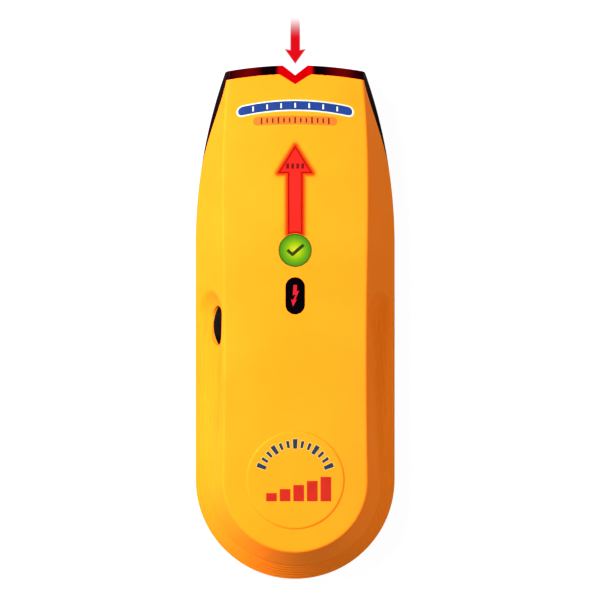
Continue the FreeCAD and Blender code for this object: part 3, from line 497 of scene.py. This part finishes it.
def battery_jacket():
    """Printed steel jacket: brushed silver with a blue lacquered band over its upper part."""
    shine = {"Roughness": 0.34, "Coat Weight": 0.3, "Coat Roughness": 0.15}
    m, tree, coords, bsdf, _ = start("lacquered_steel", shine)
    y = add(tree, "ShaderNodeSeparateXYZ", {"Vector": coords}).outputs["Y"]
    split = sum(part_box("battery_can")[i][1] for i in (0, 1)) / 2
    band = add(tree, "ShaderNodeMath", {0: y}, {1: split}, operation="GREATER_THAN").outputs[0]
    silver = mottled(tree, "B4B7BA", "BCBFC2", 3.0, coords)
    blue = mottled(tree, "245298", "28589E", 6.0, coords)
    tint = add(tree, "ShaderNodeMix", data_type="RGBA")
    for place, source in ((0, band), (6, silver), (7, blue)):
        tree.links.new(source, tint.inputs[place])
    tree.links.new(tint.outputs[2], bsdf.inputs["Base Color"])
    metal = add(tree, "ShaderNodeMath", {1: band}, {0: 1.0}, operation="SUBTRACT")
    tree.links.new(metal.outputs[0], bsdf.inputs["Metallic"])
    surface_grain(tree, coords, bsdf, 0.4, 0.003, 0.3)
    return m


def battery_finishes():
    """Finishes of the battery and its contacts, by use."""
    return {
        "jacket": battery_jacket(),
        # Nickel-plated snaps: the brightest metal inside.
        "nickel": plain("nickel_plate", "C6C2B8", "D6D2C8", {"Metallic": 1.0, "Roughness": 0.2},
                        spot=1.0, edge=0.1),
        # Drawn steel cups of the cells.
        "steel": plain("drawn_steel", "9A9CA0", "AEB0B4", {"Metallic": 1.0, "Roughness": 0.3},
                       spot=2.0, edge=0.1),
        # Kraft-backed fibre of the top plate: dark, fibrous and matte.
        "fibre": plain("vulcanised_fibre", "2C2824", "383230", {"Roughness": 0.7}, spot=0.6, edge=0.1),
        # Silver-grey polyester film of the label: flat and faintly pearly, with nothing printed on it.
        "film": plain("polyester_film", "B0B4B8", "B4B8BC", {"Roughness": 0.38, "Metallic": 0.35},
                      spot=1.0),
    }


def painted_glow_and_shade(name, base, glow, strength):
    """Painted lamp light and painted shade laid on the face as a film: the piece's own bleed attribute
    fades it to clear.
    """
    shine = {"Base Color": rgb(base), "Roughness": 0.42, "Specular IOR Level": 0.05,
             "Emission Color": rgb(glow), "Emission Strength": strength}
    m, tree, _, bsdf, _ = start(name, shine)
    shade = add(tree, "ShaderNodeAttribute", attribute_name="bleed")
    tree.links.new(shade.outputs["Fac"], bsdf.inputs["Alpha"])
    return m


def thrown_light():
    """Red light thrown on the floor: the sheet's own bleed attribute fades it to clear."""
    m, tree, _, surface, out = start("thrown_red_light")
    tree.nodes.remove(surface)
    shade = add(tree, "ShaderNodeAttribute", attribute_name="bleed")
    colour = ramp_of(tree, shade.outputs["Fac"], [(0.35, "C8325A"), (1.0, "EE1C30")])
    red = add(tree, "ShaderNodeEmission", {"Color": colour})
    clear = add(tree, "ShaderNodeBsdfTransparent")
    mix = add(tree, "ShaderNodeMixShader",
              {0: shade.outputs["Fac"], 1: clear.outputs[0], 2: red.outputs[0]})
    tree.links.new(mix.outputs[0], out.inputs[0])
    return m


def seamless_paper():
    """White seamless paper, lit from behind so that it stays pale, and clear from below."""
    shine = {"Roughness": 0.9, "Emission Color": rgb("FFFFFF"), "Emission Strength": 0.93}
    m, tree, coords, bsdf, out = start("seamless_paper", shine)
    tree.links.new(mottled(tree, "585858", "5C5C5C", 30.0, coords), bsdf.inputs["Base Color"])
    clear = add(tree, "ShaderNodeBsdfTransparent")
    side = add(tree, "ShaderNodeNewGeometry").outputs["Backfacing"]
    mix = add(tree, "ShaderNodeMixShader", {0: side, 1: bsdf.outputs[0], 2: clear.outputs[0]})
    tree.links.new(mix.outputs[0], out.inputs[0])
    return m


# ------------------------------------------------------------------ case

def stations():
    """The y of each station's centre and its outward direction, from the right nose corner to the left."""
    ahead = np.concatenate([np.linspace(FIRST_Y, STRETCH_Y, 22), np.linspace(59.0, CLOSE_FROM_Y, 42)])
    scoop = np.linspace(13.6, CLOSE_TO_Y, 78)
    rest = np.linspace(-14.7, TAIL_Y, 58)
    y = np.concatenate([ahead, scoop, rest])
    turn = np.linspace(0.0, math.pi, 180)[1:-1]
    right = np.stack([np.ones_like(y), np.zeros_like(y)], axis=1)
    tail = np.stack([np.cos(turn), -np.sin(turn)], axis=1)
    base_y = np.concatenate([y, np.full(len(turn), TAIL_Y), y[::-1]])
    direction = np.vstack([right, tail, -right])
    return base_y, direction


def shell_points():
    """The outer skin as a grid: across stations, and up each profile over the side, the rim and the face.

    Each profile climbs the straight side, turns on a circle of radius RIM_ROUND tangent to the side and the
    face, and runs in along the crowned face to the centre line.
    """
    by, d = stations()
    by = by[:, None]
    dx, dy = d[:, :1], d[:, 1:]
    straight = np.abs(dy) < 1e-9

    def place(rho):
        """The y at a distance rho from the centre line, leaning towards the lens near the nose."""
        stretch = np.clip((by - STRETCH_Y) / (FIRST_Y - STRETCH_Y), 0.0, 1.0)
        leaning = STRETCH_Y + stretch * (nose_y(rho, LENS_BAND) - STRETCH_Y)
        return np.where(straight & (by > STRETCH_Y), leaning, by + dy * rho)

    def rho_side(z):
        """The side's distance from the centre line at z, settled with place in four rounds."""
        y = by
        for _ in range(4):
            rho = np.where(straight, side_x(np.maximum(y, TAIL_Y), z), side_x(TAIL_Y, z))
            y = place(rho)
        return rho

    z = np.full_like(by, 29.0)
    for _ in range(12):
        rho = rho_side(z)
        z = crown(rho * dx, place(rho))
    corner = np.stack([rho, z], axis=-1)
    slope = rho_side(z + 0.5) - rho_side(z - 0.5)
    ns = np.stack([np.ones_like(slope), -slope], axis=-1)
    ns /= np.linalg.norm(ns, axis=-1, keepdims=True)
    inner = rho - 1.0
    fall = crown(inner * dx, place(inner)) - z
    nt = np.stack([fall, np.ones_like(fall)], axis=-1)
    nt /= np.linalg.norm(nt, axis=-1, keepdims=True)
    centre = corner - RIM_ROUND * (ns + nt) / (1 + (ns * nt).sum(-1, keepdims=True))
    turn = np.linspace(0.0, 1.0, 7)[None, :, None]
    arc = ns * (1 - turn) + nt * turn
    arc = centre + RIM_ROUND * arc / np.linalg.norm(arc, axis=-1, keepdims=True)

    low = wing_z(place(side_x(by, 20.0)))
    t = np.concatenate([np.arange(0.0, 8.8, 0.21), np.linspace(9.0, 17.0, 12)]) / 17.0
    z_side = low + (arc[:, :1, 1] - 0.12 - low) * (t[None, :] / t[-1])
    rho_s = rho_side(z_side)

    rho_top0 = arc[:, -1:, 0]
    s = np.linspace(0.06, 1.0, 15)[None, :]
    middle = np.tile(np.linspace(3.7, 0.0, 4), (len(by), 1))
    rho_t = np.concatenate([rho_top0 + (4.99 - rho_top0) * s, middle], axis=1)
    z_t = crown(rho_t * dx, place(rho_t))

    rho_all = np.concatenate([rho_s, arc[..., 0], rho_t], axis=1)
    z_all = np.concatenate([z_side, arc[..., 1], z_t], axis=1)
    p = np.stack([rho_all * dx, place(rho_all), z_all], axis=-1)
    return p, rho_s.shape[1], rho_s.shape[1] + 7


def front_shell(material):
    """The front moulding: the skin with its scoops and grooves, a wall behind it, and its openings cut out.

    The grooves are Gaussian dips every GROOVE_PITCH of height. They fade out in the last millimetre above
    the split, between z = 19.6 and 21.2, and between y = 2 and 9.
    """
    p, n_side, n_face = shell_points()
    p = scooped(p)
    n = grid_normals(p)
    n *= np.where((n[..., 2:] < 0) & (p[..., 2:] > 28), -1.0, 1.0)
    # The middle station faces the tail, so an outward normal points to -Y there.
    if n[len(n) // 2, 3, 1] > 0:
        n = -n
    phase = (p[..., 2] - GROOVE_Z) / GROOVE_PITCH
    dip = np.exp(-(((phase - np.round(phase)) / GROOVE_WIDTH) ** 2))
    band = smoothstep(12.2, 12.9, p[..., 2]) * (1 - smoothstep(19.6, 21.2, p[..., 2]))
    band = band * (1 - smoothstep(2.0, 9.0, p[..., 1]))
    outer = p - n * (GROOVE_DEPTH * dip * band)[..., None]
    rows, cols = p.shape[:2]
    # The inner skin has no grooves and no rim, so it keeps only some of the columns.
    keep = np.concatenate([np.array([0, 12, 26, 40]), np.arange(n_face + 2, cols)])
    keep = keep[(keep < n_side - 6) | (keep > n_face)]
    inner = p[:, keep] - n[:, keep] * WALL
    inner[:, 0, 2] = p[:, 0, 2]
    inner[:, -1, 0] = 0.0
    verts = np.concatenate([outer.reshape(-1, 3), inner.reshape(-1, 3)])
    base = rows * cols
    k = len(keep)
    flip = np.cross(outer[1, 0] - outer[0, 0], outer[0, 1] - outer[0, 0])[0] < 0
    faces = grid_faces(rows, cols, flip=not flip).tolist()
    faces += (grid_faces(rows, k, flip=flip) + base).tolist()
    i = np.arange(rows - 1)
    foot = np.stack([i * cols, i * k + base, (i + 1) * k + base, (i + 1) * cols], axis=1)
    faces += foot.tolist() if flip else foot[:, ::-1].tolist()
    for row, sign in ((0, 1), (rows - 1, -1)):
        for j in range(k - 1):
            ring = [row * cols + c for c in range(keep[j], keep[j + 1] + 1)]
            ring += [base + row * k + j + 1, base + row * k + j]
            faces.append(ring[::sign] if flip else ring[::-sign])
    shell = make_mesh("front_moulding", verts, faces, material, smooth=False)
    cutters = [
        prism("cut_arrow", arrow_outline(GAP), 2, 22.0, 36.0),
        prism("cut_ready", circle_points(0.0, READY_Y, READY_R + GAP), 2, 22.0, 36.0),
        prism("cut_hazard", stadium(0.0, HAZARD_Y, HAZARD_LONG + GAP, HAZARD_SHORT + GAP), 2, 22.0, 36.0),
        # Reversed twice: z, y pairs become y, z pairs, and the outline stays counter-clockwise.
        prism("cut_button", stadium(BUTTON_Z, BUTTON_Y, BUTTON_LONG, BUTTON_SHORT)[::-1, ::-1],
              0, -33.0, -18.0),
    ]
    weld = shell.modifiers.new("weld", "WELD")
    weld.merge_threshold = 0.002 * MM
    for cutter in cutters:
        cut = shell.modifiers.new(cutter.name, "BOOLEAN")
        cut.operation = "DIFFERENCE"
        cut.solver = "EXACT"
        cut.object = cutter
    settled = settle(shell)
    for cutter in cutters:
        bpy.data.objects.remove(cutter)
    settled.data.shade_smooth()
    settled.data.set_sharp_from_angle(angle=math.radians(SHARP_SHELL))
    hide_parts("front_shell")
    return settled


def settle(obj):
    """The object with its modifiers turned into mesh."""
    graph = bpy.context.evaluated_depsgraph_get()
    graph.update()
    done = bpy.data.meshes.new_from_object(obj.evaluated_get(graph), depsgraph=graph)
    obj.modifiers.clear()
    obj.data = done
    return obj


def emblem(material):
    """The raised round pad: rings from its centre, PAD_RISE above the face, out over a rounded edge."""
    turn = np.linspace(0, math.pi / 2, 9)
    r = np.concatenate([np.linspace(0.0, 14.8, 16), 15.0 + 0.8 * np.sin(turn), [15.8]])
    drop = np.concatenate([np.zeros(16), 0.38 * (1 - np.cos(turn)), [0.9]])
    a = np.linspace(0.0, 2 * math.pi, 145)
    x = r[None, :] * np.cos(a)[:, None]
    y = TAIL_Y + r[None, :] * np.sin(a)[:, None]
    p = np.stack([x, y, crown(x, y) + PAD_RISE - drop[None, :]], axis=-1)
    pad = make_mesh("emblem_pad", p, grid_faces(*p.shape[:2]), material)
    return pad


# ------------------------------------------------------------------ printed marks

def quad_patch(corners, lift, nu=10, nv=5):
    """A four-cornered patch laid on the face: corners blended along u and v, raised by lift."""
    c = np.asarray(corners, float)
    u = np.linspace(0, 1, nu)[:, None, None]
    v = np.linspace(0, 1, nv)[None, :, None]
    xy = (1 - u) * (1 - v) * c[0] + u * (1 - v) * c[1] + u * v * c[2] + (1 - u) * v * c[3]
    return on_face(xy, lift)


def on_face(xy, lift):
    """Points x, y with z on the crowned face plus lift, and plus PAD_RISE where they lie on the pad."""
    z = crown(xy[..., 0], xy[..., 1]) + lift
    on_pad = np.hypot(xy[..., 0], xy[..., 1] - TAIL_Y) < EMBLEM_R - 0.3
    return np.concatenate([xy, (z + PAD_RISE * on_pad)[..., None]], axis=-1)


def arch_y(x, top, radius):
    """Height of an arch whose crest is top."""
    return top - radius + np.sqrt(radius ** 2 - x ** 2)


def band_patch(x0, x1, mid_top, radius, half, lift, round_end=True, nu=60, nv=5):
    """A bar along an arch from x0 to x1: half its height is half, less where a round end narrows it."""
    u = np.linspace(0, 1, nu)
    u = 0.5 - 0.5 * np.cos(math.pi * u) if round_end else u
    x = x0 + (x1 - x0) * u
    reach = np.minimum(x - x0, x1 - x) / half
    size = np.full_like(x, half)
    if round_end:
        size = half * np.sqrt(np.clip(1 - np.clip(1 - reach, 0, 1) ** 2, 1e-4, 1))
    v = np.linspace(-1, 1, nv)
    y = arch_y(x, mid_top, radius)[:, None] + size[:, None] * v[None, :]
    xx = np.broadcast_to(x[:, None], y.shape)
    return on_face(np.stack([xx, y], axis=-1), lift)


def ring_patch(cx, cy, r0, r1, a0, a1, lift, nu=10, nv=4):
    """A piece of a ring about (cx, cy) between two radii and two angles from straight up."""
    a = np.linspace(a0, a1, nu)[:, None]
    r = np.linspace(r0, r1, nv)[None, :]
    xy = np.stack([cx + r * np.sin(a), cy + r * np.cos(a)], axis=-1)
    return on_face(xy, lift)


def printed(name, patches, material):
    """Several laid patches as one printed mark."""
    verts, faces, at = [], [], 0
    for p in patches:
        q = grid_faces(*p.shape[:2])
        turn = np.cross(p[1, 0] - p[0, 0], p[0, 1] - p[0, 0])[2]
        faces.append((q[:, ::-1] if turn > 0 else q) + at)
        verts.append(p.reshape(-1, 3))
        at += p.shape[0] * p.shape[1]
    return make_mesh(name, np.vstack(verts), np.vstack(faces).tolist(), material)


def stroke(x0, y0, x1, y1, width, lift):
    """A straight stroke as a four-cornered patch."""
    a = np.array([x0, y0], float)
    b = np.array([x1, y1], float)
    side = np.array([-(b - a)[1], (b - a)[0]]) / np.linalg.norm(b - a) * width / 2
    return quad_patch([a - side, b - side, b + side, a + side], lift, 8, 3)


def graphics(ink):
    """All printed marks: a banner of slots, a ruled pill, a dial scale, level bars and window symbols."""
    banner = [band_patch(-18.9, 18.9, BANNER_TOP, BANNER_R, 1.85, 0.02)]
    core = [band_patch(-18.3, 18.3, BANNER_TOP, BANNER_R, 1.35, 0.035)]
    slots = [band_patch(x - 0.28, x + 0.28, BANNER_TOP, BANNER_R, 0.8, 0.05, False, 4, 4)
             for x in np.arange(-13.5, 14, 4.5)]
    printed("banner_edge", banner, ink["white"])
    printed("banner_core", core, ink["blue"])
    printed("banner_slots", slots, ink["white"])
    printed("ruled_pill", [band_patch(-13.5, 13.5, PILL_TOP, PILL_R, 1.4, 0.02)], ink["orange"])
    marks = [band_patch(x - 0.22, x + 0.22, PILL_TOP, PILL_R, 0.75 if i % 3 else 1.0, 0.035, False, 3, 3)
             for i, x in enumerate(np.arange(-10.8, 10.9, 1.8))]
    printed("pill_marks", marks, ink["brown"])
    scale_pale, scale_dark = [], []
    for i, a in enumerate(np.radians(np.linspace(-68, 68, 13))):
        tall, half = (1.1, 0.036) if i % 3 else (1.5, 0.055)
        for ink_layer, edge, turn, lift in ((scale_pale, 0.22, 0.02, 0.02), (scale_dark, 0.0, 0.0, 0.035)):
            ink_layer.append(ring_patch(0, TAIL_Y, SCALE_R - tall - edge, SCALE_R + tall + edge,
                                        a - half - turn, a + half + turn, lift))
    printed("scale_edge", scale_pale, ink["pale"])
    printed("scale_marks", scale_dark, ink["navy"])
    bars = []
    for i in range(5):
        x = -9.3 + 4.36 * i
        top = BARS_Y + 2.6 + 1.3 * i
        bars.append(quad_patch([(x, BARS_Y), (x + 3.4, BARS_Y), (x + 3.4, top), (x, top)], 0.035))
    printed("level_bars", bars, ink["red"])
    tick = [stroke(-2.5, READY_Y + 0.1, -0.75, READY_Y - 1.5, 0.95, 0.06),
            stroke(-1.0, READY_Y - 1.45, 2.7, READY_Y + 1.75, 0.95, 0.065)]
    printed("ready_tick", tick, ink["olive"])
    blocks = [quad_patch([(x, 49.4), (x + 0.95, 49.4), (x + 0.95, 51.1), (x, 51.1)], 0.07, 4, 4)
              for x in np.linspace(-2.9, 1.95, 4)]
    printed("arrow_blocks", blocks, ink["maroon"])


# ------------------------------------------------------------------ build

def merged(node, material):
    """A welded copy of a CAD node, smooth except over sharp corners, that stands for it."""
    source = frame["nodes"][node]
    obj = bpy.data.objects.new(node + "_skin", source.data.copy())
    bpy.context.scene.collection.objects.link(obj)
    weld = obj.modifiers.new("weld", "WELD")
    weld.merge_threshold = 0.002 * MM
    settle(obj)
    # The import's stored normals would override the smoothing below.
    for name in [a.name for a in obj.data.attributes if "normal" in a.name]:
        obj.data.attributes.remove(obj.data.attributes[name])
    obj.data.shade_smooth()
    obj.data.set_sharp_from_angle(angle=math.radians(SHARP_SKIN))
    even = obj.modifiers.new("even", "WEIGHTED_NORMAL")
    even.keep_sharp = True
    settle(obj)
    obj.data.materials.clear()
    obj.data.materials.append(material)
    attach(obj, body_of(source)[0])
    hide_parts(node)
    return obj


def outline_field(xy, outline):
    """Distance to a closed outline: above 0 for points inside it, by a ray's crossings, else below 0."""
    x, y = xy[..., 0], xy[..., 1]
    far = np.full(x.shape, np.inf)
    inside = np.zeros(x.shape, bool)
    for a, b in zip(outline, np.roll(outline, -1, axis=0)):
        ab = b - a
        t = np.clip(((xy - a) @ ab) / (ab @ ab), 0, 1)
        far = np.minimum(far, np.linalg.norm(xy - a - t[..., None] * ab, axis=-1))
        crosses = (a[1] > y) != (b[1] > y)
        inside ^= crosses & (x < (b[0] - a[0]) * (y - a[1]) / (b[1] - a[1] + 1e-12) + a[0])
    return np.where(inside, far, -far)


def film(name, points, bleed, material, body="case"):
    """A thin film over a grid of points, kept only where its bleed shows."""
    faces = grid_faces(*bleed.shape)
    if np.cross(points[1, 0] - points[0, 0], points[0, 1] - points[0, 0])[2] > 0:
        faces = faces[:, ::-1]
    faces = faces[bleed.reshape(-1)[faces].max(axis=1) > 0.01]
    used, index = np.unique(faces, return_inverse=True)
    sheet = make_mesh(name, points.reshape(-1, 3)[used], index.reshape(faces.shape), material, body=body)
    data = sheet.data.attributes.new("bleed", "FLOAT", "POINT")
    data.data.foreach_set("value", bleed.reshape(-1)[used].astype(np.float32))
    return sheet


def arrow_bleed():
    """Painted light bled round the arrow, falling off as a Gaussian of distance, and a painted shaded
    margin within.
    """
    x, y = np.meshgrid(np.linspace(-9, 9, 121), np.linspace(25.0, 60.5, 240), indexing="ij")
    xy = np.stack([x, y], axis=-1)
    depth = outline_field(xy, arrow_outline())
    clear = np.hypot(x, y - READY_Y) > READY_R + 0.1
    # Painted light: a red glow laid on the face round the arrow, fading with distance from its outline.
    outer = np.where(depth > 0, 0.0, 0.8 * np.exp(-(depth / 0.9) ** 2)) * clear
    film("arrow_light_bleed", on_face(xy, 0.012), outer,
         painted_glow_and_shade("red_light_bleed", "C84010", "FF2A08", 0.1))
    # Painted shade: a dark film that darkens the arrow window towards its edges.
    inner = np.where(depth > 0, 0.75 * np.exp(-(depth / 0.45) ** 2), 0.0)
    film("arrow_painted_shade", on_face(xy, 0.05), inner, painted_glow_and_shade("painted_margin_shade", "901408", "901408", 0.0))


def pointer_light():
    """The red arrow that the nose throws ahead of the notch, fading out along its shaft."""
    x, y = np.meshgrid(np.linspace(-4.2, 4.2, 85), np.linspace(82.8, 101.0, 183), indexing="ij")
    outline = np.array([(0.0, 83.6), (3.3, 88.2), (1.5, 87.9), (1.5, 102.0),
                        (-1.5, 102.0), (-1.5, 87.9), (-3.3, 88.2)])
    bleed = smoothstep(-0.3, 0.25, outline_field(np.stack([x, y], axis=-1), outline))
    bleed = bleed * (1 - smoothstep(91.5, 100.5, y))
    points = np.stack([x, y, np.full_like(x, FLOOR_Z + 0.1)], axis=-1)
    film("pointer_light", points, bleed, thrown_light(), body=None)


def finishes():
    """The material of each CAD node whose welded copy is shown."""
    case, lens, board, battery = case_plastics(), lenses(), board_finishes(), battery_finishes()
    return case["amber"], {
        "nose_lens": lens["smoke"], "arrow_window": lens["arrow"], "ready_window": lens["ready"],
        "hazard_window": lens["hazard"], "bolt_window": lens["bolt"],
        "arrow_lamps": lens["red_lamp"], "ready_lamp": lens["green_lamp"],
        "hazard_lamp": lens["red_lamp"], "pointer_lamps": lens["red_lamp"],
        "back_shell": case["charcoal"], "battery_door": case["charcoal"], "door_latch": case["black"],
        "door_foam": case["foam"], "side_button": case["rubber"], "light_shroud": case["white"],
        "switch_body": case["black"], "switch_plunger": case["white"], "board_header": case["black"],
        "contact_plate": case["black"], "back_label": battery["film"],
        "main_board": board["board"], "switch_board": board["board"], "sensor_plates": board["copper"],
        "controller_chip": board["epoxy"], "sensing_chip": board["epoxy"], "resistors": board["epoxy"],
        "chip_pins": board["tin"], "header_pins": board["tin"], "pointer_legs": board["tin"],
        "ceramic_capacitors": board["ceramic"], "can_capacitors": board["can"],
        "piezo_disc": board["brass"], "piezo_ceramic": board["wafer"],
        "case_screws": board["zinc"], "board_screws": board["zinc"],
        "battery_lead_red": board["red_lead"], "piezo_lead_red": board["red_lead"],
        "battery_lead_black": board["black_lead"], "piezo_lead_black": board["black_lead"],
        "battery_can": battery["jacket"], "battery_cells": battery["steel"],
        "battery_header": battery["fibre"],
        "battery_snaps": battery["nickel"], "contact_snaps": battery["nickel"],
    }


def build():
    """Every piece with its finish."""
    amber, by_node = finishes()
    front_shell(amber)
    emblem(amber)
    graphics(inks())
    for node, material in by_node.items():
        merged(node, material)
    arrow_bleed()


def studio_light(name, at, size, power, colour, mirrored=True):
    """A square soft light, metres wide and in watts, turned to the tool; gloss shows it if mirrored."""
    lamp = bpy.data.lights.new(name, "AREA")
    lamp.size = size
    lamp.energy = power
    lamp.color = colour
    obj = bpy.data.objects.new(name, lamp)
    obj.location = at
    obj.visible_glossy = mirrored
    aim = np.array([0.0, 0.0, 0.01]) - np.array(at)
    obj.rotation_euler = (math.atan2(math.hypot(aim[0], aim[1]), -aim[2]), 0.0,
                          math.atan2(aim[1], aim[0]) - math.pi / 2)
    bpy.context.scene.collection.objects.link(obj)


def stage():
    """A glowing floor, a sky brighter on the left, three soft lights, and a camera straight overhead."""
    half = 1500.0
    corners = [(-half, -half, FLOOR_Z), (half, -half, FLOOR_Z),
               (half, half, FLOOR_Z), (-half, half, FLOOR_Z)]
    floor = make_mesh("floor", np.array(corners), [[0, 1, 2, 3]], seamless_paper(), body=None, smooth=False)
    world = bpy.data.worlds.new("studio")
    bpy.context.scene.world = world
    world.use_nodes = True
    sky = world.node_tree
    heading = add(sky, "ShaderNodeTexCoord").outputs["Generated"]
    across = add(sky, "ShaderNodeSeparateXYZ", {"Vector": heading}).outputs["X"]
    level = add(sky, "ShaderNodeMapRange", {"Value": across},
                {"From Min": -0.9, "From Max": 0.7, "To Min": 0.5, "To Max": 0.06})
    sky.links.new(level.outputs[0], sky.nodes["Background"].inputs[1])
    # Key over the left of the nose, a weaker one over the right, and a low one along the left side.
    studio_light("key", (-0.64, 0.4, 0.95), 0.5, 28.0, (1.0, 0.99, 0.96))
    studio_light("top", (0.46, -0.05, 1.0), 0.4, 6.2, (1.0, 1.0, 0.98))
    studio_light("side", (-1.2, -0.2, 0.4), 0.5, 6.0, (1.0, 1.0, 0.96), mirrored=False)
    # A long lens from far off, which frames 193.2 mm at the camera's aim 12 mm above the base.
    distance, view_width = 5.0, 0.1932
    lens = bpy.data.cameras.new("camera")
    lens.sensor_width = 36.0
    lens.lens = lens.sensor_width * distance / view_width
    lens.clip_end = 20.0
    camera = bpy.data.objects.new("camera", lens)
    camera.location = (0.00155, 0.00725, 0.012 + distance)
    bpy.context.scene.collection.objects.link(camera)
    bpy.context.scene.camera = camera
    bpy.context.scene.view_settings.view_transform = "Standard"
    bpy.context.scene.view_settings.gamma = 0.75


build()
pointer_light()
stage()
